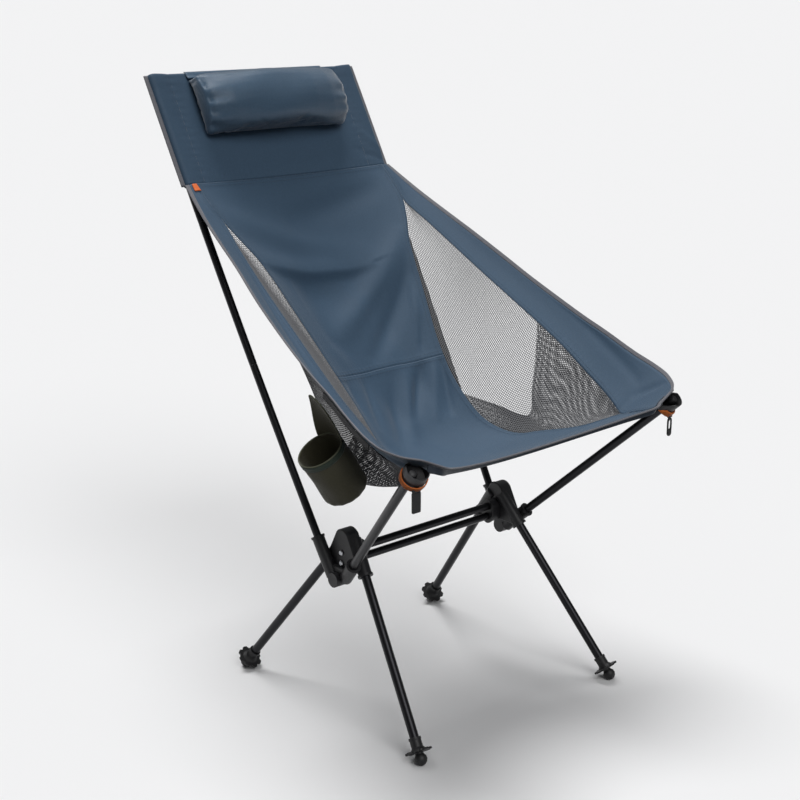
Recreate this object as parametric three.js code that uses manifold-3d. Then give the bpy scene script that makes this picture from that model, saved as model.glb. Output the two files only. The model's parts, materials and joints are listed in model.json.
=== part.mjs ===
// An ultralight high-back camping chair: two moulded hubs joined by two crossbars hold four
// legs, two short seat poles and two long uprights, and a cloth sling hangs on the pole tips.
// Lengths are in millimetres. X = 0 is the plane of symmetry, the sitter faces -Y, Z is up.

import * as THREE from 'three';
import { mergeVertices } from 'three/addons/utils/BufferGeometryUtils.js';
import Module from 'manifold-3d';

const wasm = await Module();
wasm.setup();

// Stance: where the axes of legs and poles pass
const footHalfSpanX = 214;
const footHalfSpanY = 222;
const legApexX = 161;
const hubHeight = 251;
const legApexRise = 47;
const legApexHeight = hubHeight + legApexRise;
const poleRootX = 190;
const uprightRootY = 30;
const seatPoleRootY = -34;
const seatPoleTipX = 281.5;
const seatPoleTipY = -278;
const seatPoleTipHeight = 491;
const headStraightX = 227;
const headBow = 19.5;
const headY = 453;
const headHeight = 980;
const shoulderHeight = 808;

// Tubes
const legRadius = 7.5;
const seatPoleRadius = 7.25;
const uprightRadius = 6.5;
const crossbarRadius = 6.5;
const tubeWall = 0.9;
const cordRadius = 1.4;
const slidingClearance = 0.3;
const tubeSides = 16;
const cordSides = 8;
const cordSteps = 4;
const smallSides = 12;

// Hub sockets and moulding
const socketWall = 3.2;
const legSocketTopDrop = 15;
const legSocketDepth = 46;
const legSocketTopHeight = legApexHeight - legSocketTopDrop;
const legMouthHeight = legSocketTopHeight - legSocketDepth;
const uprightMouthRise = 32;
const uprightSocketDepth = 51;
const uprightMouthHeight = hubHeight + uprightMouthRise;
const uprightSocketFloorHeight = uprightMouthHeight - uprightSocketDepth;
const seatPoleMouthRise = 9;
const seatPoleSocketDepth = 24;
const seatPoleMouthHeight = hubHeight + seatPoleMouthRise;
const seatPoleSocketFloorHeight = seatPoleMouthHeight - seatPoleSocketDepth;
const mouthLip = 1.4;
const mouthLipLength = 4;
const archRadius = 18;
const archInnerX = 158;
const archOuterX = 182;
const archFootDrop = 57;
const archFootHeight = legApexHeight - archFootDrop;
const mouldBevel = 1.6;
const veeBottomY = 4;
const veeBottomDrop = 29;
const veeBottomHeight = hubHeight - veeBottomDrop;
const veeBottomRadius = 12;
const veeWebInnerX = 172;
const veeOuterX = 198;
const bossInnerX = 139;
const bossHalfWidth = 11;
const bossMargin = 4.6;
const collarLength = 3;
const collarLip = 1.2;

// Crossbars and their screws
const crossbarSpacing = 17.6;
const crossbarRise = 6.2;
const crossbarMiddleHeight = hubHeight + crossbarRise;
const crossbarEndX = 165;
const insertLength = 16;
const screwRadius = 2.5;
const screwHeadRadius = 4.6;
const screwHeadHeight = 2.8;
const screwCrownShare = 0.7;

// Feet
const footBallRadius = 10;
const footFlatCut = 0.6;
const footNeckRadius = 6.6;
const footDiscHeight = 12;
const footDiscRadius = 21;
const footDiscThickness = 3;
const footScallopDepth = 3.6;
const footLobes = 8;
const footLobeSteps = 5;
const footConeRadius = 13;
const footCollarWall = 1.3;
const footCollarHeight = 33;
const footSocketFloor = 18;

// Upright joints
const lowerJointShare = 0.413;
const upperJointShare = 0.7065;
const ferruleLength = 64;
const ferruleWall = 0.9;
const tipLength = 9;
const tipPlugLength = 14;
const tipDomeShare = 0.55;
const tipShoulderShares = [0.8, 0.35];

// Sling cloth
const clothThickness = 1.5;
const bindingThickness = 2.6;
const bindingWidth = 8;
const seamGap = 0.5;
const headSeamGap = 1;
const sleeveDepth = 30;
const headSlack = 3;
const hemDepth = 10;
const backFold = 4.5;
const seatFold = 3.5;
const bandHollow = 5;
const meshBelly = 6;
const netOpenings = 2;
const netStripShare = 0.09;
const netStripRowShare = 0.25;
const netFromRow = 6;
const netToRow = 17;
const pocketBelly = 7;
const pocketDent = 5.5;
const pocketTopShare = 0.5;
const pocketFromShare = 0.467;
const pocketToShare = 0.817;
const pocketSeamFromShare = 0.433;
const pocketSeamToShare = 0.767;

// Front pole cups, bands and straps
const cupRadius = 17.5;
const cupMouthRadius = 18.5;
const cupWall = 1.8;
const cupDepth = 25;
const cupReach = 34;
const cornerBlock = 120;
const cornerDrop = 3.5;
const cupInset = 7;
const cupBandWidth = 10;
const cupBandThickness = 1.4;
const strapWidth = 15;
const strapLength = 30;
const strapThickness = 3;
const loopWidth = 11;
const loopLength = 32;
const loopSlotWidth = 4.6;
const loopSlotLength = 14;

// Pillow
const pillowLength = 286;
const pillowHang = 8.9;
const pillowHeight = 113;
const pillowDepth = 56;
const pillowEndDepth = 38;
const pillowNarrowShare = 0.06;
const pillowEndPower = 4;
const pillowCrownPower = 0.8;
const pillowFlapLength = 290;

// Drink pouch, hung on the left
const pouchRadius = 36;
const pouchDepth = 87;
const pouchWall = 1.5;
const pouchRimReach = 8.5;
const pouchRimBack = 192;
const pouchRimDrop = 12;
const pouchFlapHeight = 76;
const pouchFlapSpread = Math.PI / 3.6;
const pouchFlapTaperShare = 0.9;
const pouchLeanShares = [-0.55, 0.05, 0.835];
const webbingWidth = 10;
const webbingFromShare = 0.617;

const sides = [{ name: 'left', sign: -1 }, { name: 'right', sign: 1 }];
const zAxis = new THREE.Vector3(0, 0, 1);
const point = (x, y, z) => new THREE.Vector3(x, y, z);

function finish(color, roughness, metalness = 0) {
  return new THREE.MeshStandardMaterial({ color, roughness, metalness, side: THREE.DoubleSide });
}

const anodised = finish(0x141416, 0.38, 0.85);
const nylon = finish(0x101012, 0.6);
const steel = finish(0x8a8c90, 0.35, 0.9);
const rubber = finish(0x0e0e10, 0.8);
const elastic = finish(0x1c1c20, 0.9);
const cloth = finish(0x38506a, 0.85);
const mesh = finish(0x7c8088, 0.9);
const tape = finish(0x6a6c74, 0.9);
const darkCloth = finish(0x1a2330, 0.9);
const orange = finish(0xe8622a, 0.7);
const webbing = finish(0x0d0d0f, 0.85);
const olive = finish(0x3c3b2c, 0.85);

// The chair stands with the middle of its outline over the origin
const chair = new THREE.Group();
const stand = new THREE.Group();
stand.position.y = -(headY + seatPoleTipY) / 2;
chair.add(stand);

function add(name, geometry, material) {
  const piece = new THREE.Mesh(geometry, material);
  piece.name = name;
  stand.add(piece);
  return piece;
}

function turned(from, to) {
  const turn = new THREE.Quaternion().setFromUnitVectors(zAxis, to.clone().sub(from).normalize());
  return new THREE.Matrix4().compose(from, turn, point(1, 1, 1));
}

function addAlong(name, geometry, material, from, to) {
  const piece = add(name, geometry, material);
  piece.position.copy(from);
  piece.quaternion.setFromUnitVectors(zAxis, to.clone().sub(from).normalize());
  return piece;
}

// Solids of revolution stand on z = 0 with their axis along +Z
function revolve(profile, count = tubeSides) {
  const geometry = new THREE.LatheGeometry(profile.map(([r, h]) => new THREE.Vector2(r, h)), count);
  geometry.rotateX(Math.PI / 2);
  return geometry;
}

function rod(radius, length, count = tubeSides) {
  return revolve([[0, 0], [radius, 0], [radius, length], [0, length]], count);
}

function tube(outer, inner, length, count = tubeSides) {
  return revolve([[inner, 0], [outer, 0], [outer, length], [inner, length], [inner, 0]], count);
}

function toSolid(geometry) {
  const bare = geometry.clone();
  bare.deleteAttribute('normal');
  bare.deleteAttribute('uv');
  const merged = mergeVertices(bare);
  return new wasm.Manifold(new wasm.Mesh({
    numProp: 3,
    vertProperties: merged.attributes.position.array,
    triVerts: merged.index.array,
  }));
}

function toGeometry(solid) {
  const result = solid.getMesh();
  const geometry = new THREE.BufferGeometry();
  geometry.setAttribute('position', new THREE.BufferAttribute(result.vertProperties, 3));
  geometry.setIndex(new THREE.BufferAttribute(result.triVerts, 1));
  return geometry;
}

function mirrored(geometry) {
  const copy = geometry.clone();
  copy.scale(-1, 1, 1);
  const index = copy.index.array;
  for (let i = 0; i < index.length; i += 3) {
    [index[i], index[i + 1]] = [index[i + 1], index[i]];
  }
  return copy;
}

// Axes of the poles on one side
const footHeight = footBallRadius - footFlatCut;

function legAxis(sign, frontSign) {
  return {
    from: point(sign * legApexX, 0, legApexHeight),
    to: point(sign * footHalfSpanX, frontSign * footHalfSpanY, footHeight),
  };
}

function seatPoleAxis(sign) {
  return {
    from: point(sign * poleRootX, seatPoleRootY, hubHeight),
    to: point(sign * seatPoleTipX, seatPoleTipY, seatPoleTipHeight),
  };
}

function atHeight(axis, height) {
  return axis.from.clone().lerp(axis.to, (height - axis.from.z) / (axis.to.z - axis.from.z));
}

// The uprights leave the hub straight, and the taut sling bows them inwards towards the head
function uprightAt(sign, height) {
  const share = (height - hubHeight) / (headHeight - hubHeight);
  const x = poleRootX + (headStraightX - poleRootX) * share - headBow * share * share;
  return point(sign * x, uprightRootY + (headY - uprightRootY) * share, height);
}

class UprightCurve extends THREE.Curve {
  constructor(sign, from, to) {
    super();
    Object.assign(this, { sign, from, to });
  }

  getPoint(t) {
    return uprightAt(this.sign, this.from + (this.to - this.from) * t);
  }
}

function bentTube(sign, from, to, outer, inner, steps, count = tubeSides) {
  const ring = new THREE.Shape().absarc(0, 0, outer, 0, Math.PI * 2);
  if (inner > 0) ring.holes.push(new THREE.Path().absarc(0, 0, inner, 0, Math.PI * 2, true));
  const extrudePath = new UprightCurve(sign, from, to);
  return new THREE.ExtrudeGeometry(ring, { steps, curveSegments: count / 2, extrudePath });
}

// Hub, modelled for the right side: an arch for the legs, a V for the poles, a boss for the bars
function slabAlongX(shape, fromX, toX, bevel = 0, curveSegments = 6) {
  const geometry = new THREE.ExtrudeGeometry(shape, {
    depth: toX - fromX - 2 * bevel,
    curveSegments,
    bevelEnabled: bevel > 0,
    bevelThickness: bevel,
    bevelSize: bevel,
    bevelOffset: -bevel,
    bevelSegments: 1,
  });
  geometry.translate(0, 0, bevel);
  geometry.applyMatrix4(new THREE.Matrix4().makeBasis(point(0, 1, 0), zAxis, point(1, 0, 0)));
  geometry.translate(fromX, 0, 0);
  return geometry;
}

function archShape() {
  const barrel = legRadius + slidingClearance + socketWall;
  const foot = footHalfSpanY / (legApexHeight - footHeight);
  const lean = Math.atan(foot);
  const centre = legApexHeight + (barrel - archRadius) / Math.sin(lean);
  const footY = (legApexHeight - archFootHeight) * foot;
  const shape = new THREE.Shape();
  shape.moveTo(-footY, archFootHeight);
  shape.lineTo(footY, archFootHeight);
  shape.absarc(0, centre, archRadius, lean, Math.PI - lean);
  return shape;
}

function veeShape(upright, seat) {
  const shape = new THREE.Shape();
  shape.moveTo(veeBottomY, veeBottomHeight - veeBottomRadius);
  shape.lineTo(upright.y, upright.z);
  shape.lineTo(seat.y, seat.z);
  return shape;
}

function roundedSlot(halfWidth, halfHeight, middle) {
  const straight = halfHeight - halfWidth;
  const shape = new THREE.Shape();
  shape.absarc(0, middle + straight, halfWidth, 0, Math.PI);
  shape.absarc(0, middle - straight, halfWidth, Math.PI, Math.PI * 2);
  return shape;
}

function hubGeometry() {
  const legs = [legAxis(1, -1), legAxis(1, 1)];
  const seat = seatPoleAxis(1);
  const upright = { from: uprightAt(1, hubHeight), to: uprightAt(1, uprightMouthHeight) };
  const bossHalfHeight = crossbarSpacing / 2 + crossbarRadius + bossMargin;
  const veeFloor = veeBottomHeight + mouthLipLength / 2;
  let hub = toSolid(slabAlongX(archShape(), archInnerX, archOuterX, mouldBevel));
  const join = (geometry) => { hub = hub.add(toSolid(geometry)); };
  const cut = (geometry) => { hub = hub.subtract(toSolid(geometry)); };

  const barrel = (axis, mouth, end, radius) => {
    const from = atHeight(axis, mouth);
    const to = atHeight(axis, end);
    join(rod(radius + slidingClearance + socketWall, from.distanceTo(to)).applyMatrix4(turned(from, to)));
    const lip = radius + slidingClearance + socketWall + mouthLip;
    join(rod(lip, mouthLipLength).applyMatrix4(turned(from, to)));
  };
  const bore = (axis, mouth, floor, radius) => {
    const floorPoint = atHeight(axis, floor);
    const mouthPoint = atHeight(axis, mouth);
    const length = floorPoint.distanceTo(mouthPoint) + mouthLipLength;
    cut(rod(radius + slidingClearance, length).applyMatrix4(turned(floorPoint, mouthPoint)));
  };

  for (const leg of legs) barrel(leg, legMouthHeight, legSocketTopHeight + socketWall, legRadius);
  barrel(seat, seatPoleMouthHeight, veeFloor, seatPoleRadius);
  barrel(upright, uprightMouthHeight, veeFloor, uprightRadius);
  const webTop = archFootHeight + mouldBevel;
  join(slabAlongX(veeShape(atHeight(upright, webTop), atHeight(seat, webTop)), veeWebInnerX, poleRootX));
  const bottom = rod(veeBottomRadius, veeOuterX - veeWebInnerX).rotateY(Math.PI / 2);
  join(bottom.translate(veeWebInnerX, veeBottomY, veeBottomHeight));
  const bossEndX = archInnerX + socketWall;
  join(slabAlongX(roundedSlot(bossHalfWidth, bossHalfHeight, crossbarMiddleHeight), bossInnerX, bossEndX));
  const collar = roundedSlot(bossHalfWidth + collarLip, bossHalfHeight + collarLip, crossbarMiddleHeight);
  join(slabAlongX(collar, bossInnerX, bossInnerX + collarLength));

  for (const leg of legs) bore(leg, legMouthHeight, legSocketTopHeight, legRadius);
  bore(seat, seatPoleMouthHeight, seatPoleSocketFloorHeight, seatPoleRadius);
  bore(upright, uprightMouthHeight, uprightSocketFloorHeight, uprightRadius);
  for (const height of crossbarHeights) {
    const barBore = rod(crossbarRadius + slidingClearance, crossbarEndX + slidingClearance);
    cut(barBore.rotateY(Math.PI / 2).translate(0, 0, height));
    const screwBore = rod(screwRadius + slidingClearance, veeOuterX).rotateY(Math.PI / 2);
    cut(screwBore.translate(0, 0, height));
  }
  return toGeometry(hub);
}

const crossbarHeights = [1, -1].map((way) => crossbarMiddleHeight + (way * crossbarSpacing) / 2);
const rightHub = hubGeometry();
add('hub_right', rightHub, nylon);
add('hub_left', mirrored(rightHub), nylon);

// Crossbars: tubes with a thick threaded insert at each end, and a screw through each hub
function crossbarGeometry() {
  const length = 2 * crossbarEndX;
  const bore = screwRadius + slidingClearance;
  const inner = crossbarRadius - tubeWall;
  return revolve([
    [bore, 0], [crossbarRadius, 0], [crossbarRadius, length], [bore, length],
    [bore, length - insertLength], [inner, length - insertLength],
    [inner, insertLength], [bore, insertLength], [bore, 0],
  ]);
}

function screwGeometry(shank) {
  const crown = screwHeadHeight * screwCrownShare;
  return revolve([
    [0, 0], [screwRadius, 0], [screwRadius, shank], [screwHeadRadius, shank],
    [screwHeadRadius, shank + crown], [screwHeadRadius * screwCrownShare, shank + screwHeadHeight],
    [0, shank + screwHeadHeight],
  ], smallSides);
}

['upper', 'lower'].forEach((place, i) => {
  const height = crossbarHeights[i];
  const from = point(-crossbarEndX, 0, height);
  addAlong(`crossbar_${place}`, crossbarGeometry(), anodised, from, point(crossbarEndX, 0, height));
  const screwEndX = crossbarEndX - insertLength + screwRadius;
  const screw = screwGeometry(archOuterX + slidingClearance - screwEndX);
  for (const { name, sign } of sides) {
    const start = point(sign * screwEndX, 0, height);
    addAlong(`crossbar_screw_${place}_${name}`, screw, steel, start, point(sign * archOuterX, 0, height));
  }
});

// Feet: a ball under a lobed disc that keeps the leg from sinking into soft ground
function lobedDisc() {
  const count = footLobes * footLobeSteps;
  const outline = Array.from({ length: count }, (_, i) => {
    const angle = (i / count) * Math.PI * 2;
    const dip = Math.max(0, -Math.cos(angle * footLobes)) * footScallopDepth;
    return new THREE.Vector2(Math.cos(angle), Math.sin(angle)).multiplyScalar(footDiscRadius - dip);
  });
  const disc = new THREE.ExtrudeGeometry(new THREE.Shape(outline), {
    depth: footDiscThickness, bevelEnabled: false,
  });
  return disc.translate(0, 0, footDiscHeight - footDiscThickness / 2);
}

function footGeometry(matrix) {
  const bore = legRadius + slidingClearance;
  const collar = bore + footCollarWall;
  const discTop = footDiscHeight + footDiscThickness / 2;
  const profile = [];
  const ballSteps = 5;
  const neckAngle = Math.acos(footNeckRadius / footBallRadius);
  for (let i = 0; i <= ballSteps; i += 1) {
    const angle = -Math.PI / 2 + (i / ballSteps) * (Math.PI / 2 + neckAngle);
    profile.push([footBallRadius * Math.cos(angle), footBallRadius * Math.sin(angle)]);
  }
  profile[0][0] = 0;
  profile.push(
    [footNeckRadius, footDiscHeight], [footConeRadius, footDiscHeight], [footConeRadius, discTop],
    [collar, footSocketFloor], [collar, footCollarHeight - mouthLipLength],
    [collar + mouthLip / 2, footCollarHeight - mouthLipLength],
    [collar + mouthLip / 2, footCollarHeight], [bore, footCollarHeight],
    [bore, footSocketFloor], [0, footSocketFloor],
  );
  const ground = new THREE.BoxGeometry(footDiscRadius * 4, footDiscRadius * 4, footDiscRadius);
  ground.translate(0, 0, -footDiscRadius / 2);
  ground.translate(matrix.elements[12], matrix.elements[13], 0);
  ground.applyMatrix4(matrix.clone().invert());
  return toGeometry(toSolid(revolve(profile)).add(toSolid(lobedDisc())).subtract(toSolid(ground)));
}

for (const { name, sign } of sides) {
  for (const [place, frontSign] of [['front', -1], ['rear', 1]]) {
    const axis = legAxis(sign, frontSign);
    const ball = axis.to;
    const apex = axis.from;
    const alongLeg = apex.clone().sub(ball).normalize();
    const tubeEnd = ball.clone().addScaledVector(alongLeg, footSocketFloor + slidingClearance);
    const tubeTop = atHeight(axis, legSocketTopHeight).addScaledVector(alongLeg, -slidingClearance);
    const legTube = tube(legRadius, legRadius - tubeWall, tubeEnd.distanceTo(tubeTop));
    addAlong(`leg_tube_${place}_${name}`, legTube, anodised, tubeEnd, tubeTop);
    addAlong(`foot_${place}_${name}`, footGeometry(turned(ball, apex)), rubber, ball, apex);
    const cordLength = tubeEnd.distanceTo(tubeTop);
    addAlong(`leg_cord_${place}_${name}`, rod(cordRadius, cordLength, cordSides), elastic, tubeEnd, tubeTop);
  }
}

// Uprights in three sections over ferrules, seat poles in one
function tipGeometry(radius) {
  const plug = radius - tubeWall - slidingClearance;
  const dome = radius * tipDomeShare;
  const [shoulder, crown] = tipShoulderShares;
  return revolve([
    [0, -tipPlugLength], [plug, -tipPlugLength], [plug, 0], [radius, 0],
    [radius, tipLength - dome], [radius * shoulder, tipLength - dome * crown],
    [radius * crown, tipLength], [0, tipLength],
  ], smallSides);
}

const uprightTipHeight = headHeight - bindingThickness;
const uprightLength = uprightTipHeight - tipLength - uprightSocketFloorHeight;
const lowerJointHeight = uprightSocketFloorHeight + lowerJointShare * uprightLength;
const upperJointHeight = uprightSocketFloorHeight + upperJointShare * uprightLength;
for (const { name, sign } of sides) {
  const sections = [
    ['lower', uprightSocketFloorHeight + slidingClearance, lowerJointHeight],
    ['middle', lowerJointHeight + slidingClearance, upperJointHeight],
    ['upper', upperJointHeight + slidingClearance, uprightTipHeight - tipLength],
  ];
  for (const [place, from, to] of sections) {
    const section = bentTube(sign, from, to, uprightRadius, uprightRadius - tubeWall, 3);
    add(`upright_${place}_${name}`, section, anodised);
  }
  const ferruleRadius = uprightRadius - tubeWall - slidingClearance;
  for (const [place, height] of [['lower', lowerJointHeight], ['upper', upperJointHeight]]) {
    const from = height - ferruleLength / 2;
    const bore = ferruleRadius - ferruleWall;
    const ferrule = bentTube(sign, from, from + ferruleLength, ferruleRadius, bore, 2, smallSides);
    add(`ferrule_${place}_${name}`, ferrule, steel);
  }
  const tipSeat = uprightAt(sign, uprightTipHeight - tipLength + slidingClearance);
  const tipEnd = uprightAt(sign, uprightTipHeight);
  addAlong(`upright_tip_${name}`, tipGeometry(uprightRadius), nylon, tipSeat, tipEnd);
  const cordTop = uprightTipHeight - tipLength - tipPlugLength - slidingClearance;
  const cordBottom = uprightSocketFloorHeight + slidingClearance;
  const cord = bentTube(sign, cordBottom, cordTop, cordRadius, 0, cordSteps, cordSides);
  add(`upright_cord_${name}`, cord, elastic);

  const axis = seatPoleAxis(sign);
  const way = axis.to.clone().sub(axis.from).normalize();
  const poleEnd = axis.to.clone().addScaledVector(way, -tipLength);
  const poleStart = atHeight(axis, seatPoleSocketFloorHeight).addScaledVector(way, slidingClearance);
  const pole = tube(seatPoleRadius, seatPoleRadius - tubeWall, poleStart.distanceTo(poleEnd));
  addAlong(`seat_pole_${name}`, pole, anodised, poleStart, poleEnd);
  const seat = poleEnd.clone().addScaledVector(way, slidingClearance);
  addAlong(`seat_pole_tip_${name}`, tipGeometry(seatPoleRadius), nylon, seat, axis.to);
}

// Closed solid from rows of { point, normal }: cloth of one thickness, drawn in at its edges
function drawnIn(rows, inset) {
  const last = rows.length - 1;
  return rows.map((row, j) => row.map((vertex, k) => {
    const moved = vertex.point.clone();
    const towards = (other) => {
      const step = other.point.clone().sub(vertex.point);
      if (step.length() > inset) moved.addScaledVector(step.normalize(), inset);
    };
    if (j === 0) towards(rows[1][k]);
    if (j === last) towards(rows[last - 1][k]);
    if (k === 0) towards(row[1]);
    if (k === row.length - 1) towards(row[k - 1]);
    return { point: moved, normal: vertex.normal };
  }));
}

// A closed sheet; a cell that isOpen names is left out, and all edges beside it get a rim
function sheet(rows, thickness = clothThickness, inset = seamGap / 2, isOpen = () => false) {
  const set = drawnIn(rows, inset);
  const across = set[0].length;
  const count = set.length * across;
  const positions = [];
  for (const side of [0.5, -0.5]) {
    for (const vertex of set.flat()) {
      const place = vertex.point.clone().addScaledVector(vertex.normal, side * thickness);
      positions.push(place.x, place.y, place.z);
    }
  }
  const index = [];
  const quad = (a, b, c, d) => index.push(a, b, c, a, c, d);
  const at = (j, k) => j * across + k;
  const isOutside = (j, k) => j < 0 || k < 0 || j > set.length - 2 || k > across - 2;
  const isFree = (j, k) => isOutside(j, k) || isOpen(j, k);
  for (let j = 0; j + 1 < set.length; j += 1) {
    for (let k = 0; k + 1 < across; k += 1) {
      if (isFree(j, k)) continue;
      const corners = [at(j, k), at(j, k + 1), at(j + 1, k + 1), at(j + 1, k)];
      const neighbours = [[j - 1, k], [j, k + 1], [j + 1, k], [j, k - 1]];
      const [first, ...others] = corners;
      quad(...corners);
      quad(...[first, ...others.reverse()].map((corner) => count + corner));
      neighbours.forEach(([row, column], i) => {
        const [a, b] = [corners[i], corners[(i + 1) % corners.length]];
        if (isFree(row, column)) quad(b, a, count + a, count + b);
      });
    }
  }
  return closed(positions, index);
}

function signedVolume(positions, index) {
  let sum = 0;
  const corner = (i) => point(positions[3 * i], positions[3 * i + 1], positions[3 * i + 2]);
  for (let i = 0; i < index.length; i += 3) {
    sum += corner(index[i]).dot(corner(index[i + 1]).cross(corner(index[i + 2])));
  }
  return sum;
}

function closed(positions, index) {
  if (signedVolume(positions, index) < 0) index.reverse();
  const geometry = new THREE.BufferGeometry();
  geometry.setAttribute('position', new THREE.Float32BufferAttribute(positions, 3));
  geometry.setIndex(index);
  return geometry;
}

// Headrest plane: it holds both uprights above the shoulders
const headUp = point(0, headY - uprightRootY, headHeight - hubHeight).normalize();
const headNormal = point(1, 0, 0).cross(headUp);
const shoulder = uprightAt(0, shoulderHeight).setX(0);
const headrestHeight = (headHeight - shoulderHeight) / headUp.z;
const headPoint = (x, up, out) => shoulder.clone().setX(x)
  .addScaledVector(headUp, up).addScaledVector(headNormal, out);
const poleXAt = (up) => uprightAt(1, shoulderHeight + up * headUp.z).x;
const sleeveRadius = uprightRadius + slidingClearance + clothThickness / 2 + slidingClearance;

// Half a section of the headrest: front layer, round the pole, and back to the stitch line
function sleeveSection(up) {
  const poleX = poleXAt(up);
  const stitchX = poleX - sleeveDepth;
  const half = [
    [0, headSlack], [stitchX, headSlack],
    [(stitchX + poleX) / 2, (headSlack + sleeveRadius) / 2 + clothThickness / 2],
  ];
  for (let i = 0; i <= 6; i += 1) {
    const angle = Math.PI / 2 - (i / 6) * Math.PI;
    half.push([poleX + sleeveRadius * Math.cos(angle), sleeveRadius * Math.sin(angle)]);
  }
  const backX = stitchX + clothThickness;
  half.push([(backX + poleX) / 2, -sleeveRadius / 2 - clothThickness / 2]);
  half.push([backX, headSlack - 2 * clothThickness]);
  return half;
}

function headrestRows() {
  const steps = 5;
  return Array.from({ length: steps + 1 }, (_, j) => {
    const up = (headrestHeight * j) / steps;
    const half = sleeveSection(up);
    const path = [...half.slice(1).reverse().map(([x, out]) => [-x, out]), ...half];
    return path.map(([x, out], i) => {
      const before = path[Math.max(i - 1, 0)];
      const after = path[Math.min(i + 1, path.length - 1)];
      const along = new THREE.Vector2(after[0] - before[0], after[1] - before[1]).normalize();
      const normal = point(-along.y, 0, 0).addScaledVector(headNormal, along.x);
      return { point: headPoint(x, up, out), normal };
    });
  });
}

function headrestEdge(sign) {
  const steps = 5;
  const rows = Array.from({ length: steps + 1 }, (_, j) => {
    const up = (headrestHeight * j) / steps;
    const inner = poleXAt(up) + sleeveRadius;
    return [inner, inner + bindingWidth].map((x) => ({ point: headPoint(sign * x, up, 0), normal: headNormal }));
  });
  return toSolid(sheet(rows, bindingThickness, 0));
}

let headrest = toSolid(sheet(headrestRows(), clothThickness, 0));
for (const { sign } of sides) headrest = headrest.add(headrestEdge(sign));
add('headrest_panel', toGeometry(headrest), cloth);

// Sling outline: places as shares of the box from the seat pole tips up to the head
const midlineShares = [
  [0, 0.785, 0.476], [0, 0.709, 0.339], [0, 0.627, 0.194], [0, 0.549, 0.059], [0, 0.476, -0.061],
  [0, 0.394, -0.155], [0, 0.312, -0.192], [0, 0.25, -0.187], [0, 0.189, -0.164], [0, 0.148, -0.137],
  [0, 0.124, -0.122], [0, 0.107, -0.108],
];
const panelSeamShares = [
  [0.689, 0.763, 0.546], [0.568, 0.684, 0.407], [0.49, 0.599, 0.247], [0.416, 0.51, 0.078],
  [0.391, 0.442, -0.027], [0.405, 0.36, -0.123], [0.458, 0.282, -0.153], [0.526, 0.223, -0.133],
  [0.625, 0.144, -0.102], [0.803, 0.088, -0.063], [0.806, 0.037, -0.039], [0.796, -0.012, -0.008],
];
const bandSeamShares = [
  [0.689, 0.763, 0.546], [0.725, 0.684, 0.47], [0.757, 0.599, 0.391], [0.785, 0.51, 0.311],
  [0.806, 0.442, 0.252], [0.831, 0.36, 0.18], [0.849, 0.282, 0.11], [0.847, 0.223, 0.055],
  [0.838, 0.144, -0.016], [0.803, 0.088, -0.063],
];
const outerEdgeShares = [
  [0.831, 0.765, 0.573], [0.87, 0.684, 0.509], [0.909, 0.599, 0.444], [0.956, 0.51, 0.37],
  [0.984, 0.442, 0.315], [1.016, 0.36, 0.254], [1.041, 0.282, 0.2], [1.057, 0.223, 0.164],
  [1.083, 0.144, 0.11], [1.098, 0.083, 0.076], [1.069, 0.034, 0.051], [0.956, -0.007, 0.033],
];

// Where mesh, seat and corners start, as shares of the way from the headrest to the front edge
const apexShare = 1 / outerEdgeShares.length;
const tipShare = bandSeamShares.length / outerEdgeShares.length;
const waistShare = 4 / outerEdgeShares.length;
const cornerRowShares = [0.3, 0.65];
const meshPointShare = 0.25;

function slingPlace([x, y, z]) {
  return point(
    x * seatPoleTipX,
    seatPoleTipY + y * (headY - seatPoleTipY),
    seatPoleTipHeight + z * (headHeight - seatPoleTipHeight),
  );
}

const slingTop = (x, out) => headPoint(x, -headSeamGap, out);
const overPole = sleeveRadius + clothThickness;
const poleX0 = poleXAt(0);
const curveThrough = (start, shares) => new THREE.CatmullRomCurve3([start, ...shares.map(slingPlace)]);
const midline = curveThrough(slingTop(0, headSlack), midlineShares);
const panelSeam = curveThrough(slingTop(poleX0 - uprightRadius, overPole), panelSeamShares);
const bandSeam = curveThrough(slingTop(poleX0 - uprightRadius, overPole), bandSeamShares);
const outerEdge = curveThrough(slingTop(poleX0 + 2 * uprightRadius, uprightRadius), outerEdgeShares);

function bandSeamAt(share) {
  const inMesh = share > apexShare && share < tipShare;
  return inMesh ? bandSeam.getPoint(share / tipShare) : panelSeam.getPoint(share);
}

// Height of a shallow arch over a span, from 0 through 1 in the middle and back
const bulge = (share) => 4 * share * (1 - share);

// One grid of points covers the whole sling below the headrest, right half first
const seatCells = 7;
const meshCells = 4;
const bandCells = 3;
const halfCells = seatCells + meshCells + bandCells + 1;

// Main folds of the hanging cloth: where across and along, lean and width as shares of the panel
const foldShares = [
  { across: 0.55, along: 0.34, lean: 0.5, width: 0.1, depth: backFold },
  { across: -0.2, along: 0.4, lean: 0.35, width: 0.09, depth: backFold },
  { across: -0.6, along: 0.28, lean: -0.4, width: 0.1, depth: backFold },
  { across: 0.45, along: 0.62, lean: -0.15, width: 0.08, depth: seatFold },
  { across: -0.35, along: 0.66, lean: 0.2, width: 0.08, depth: seatFold },
];
const foldReachShare = 0.7;
const foldFadeShare = 1 / 6;

function foldAt(u, share) {
  let sum = 0;
  for (const fold of foldShares) {
    const off = (share - fold.along - fold.lean * (u - fold.across)) / fold.width;
    const reach = (u - fold.across) / foldReachShare;
    sum += fold.depth * Math.exp(-off * off - reach * reach);
  }
  return sum * (1 - u * u) * Math.min(1, share / foldFadeShare, (1 - share) / foldFadeShare);
}

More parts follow.
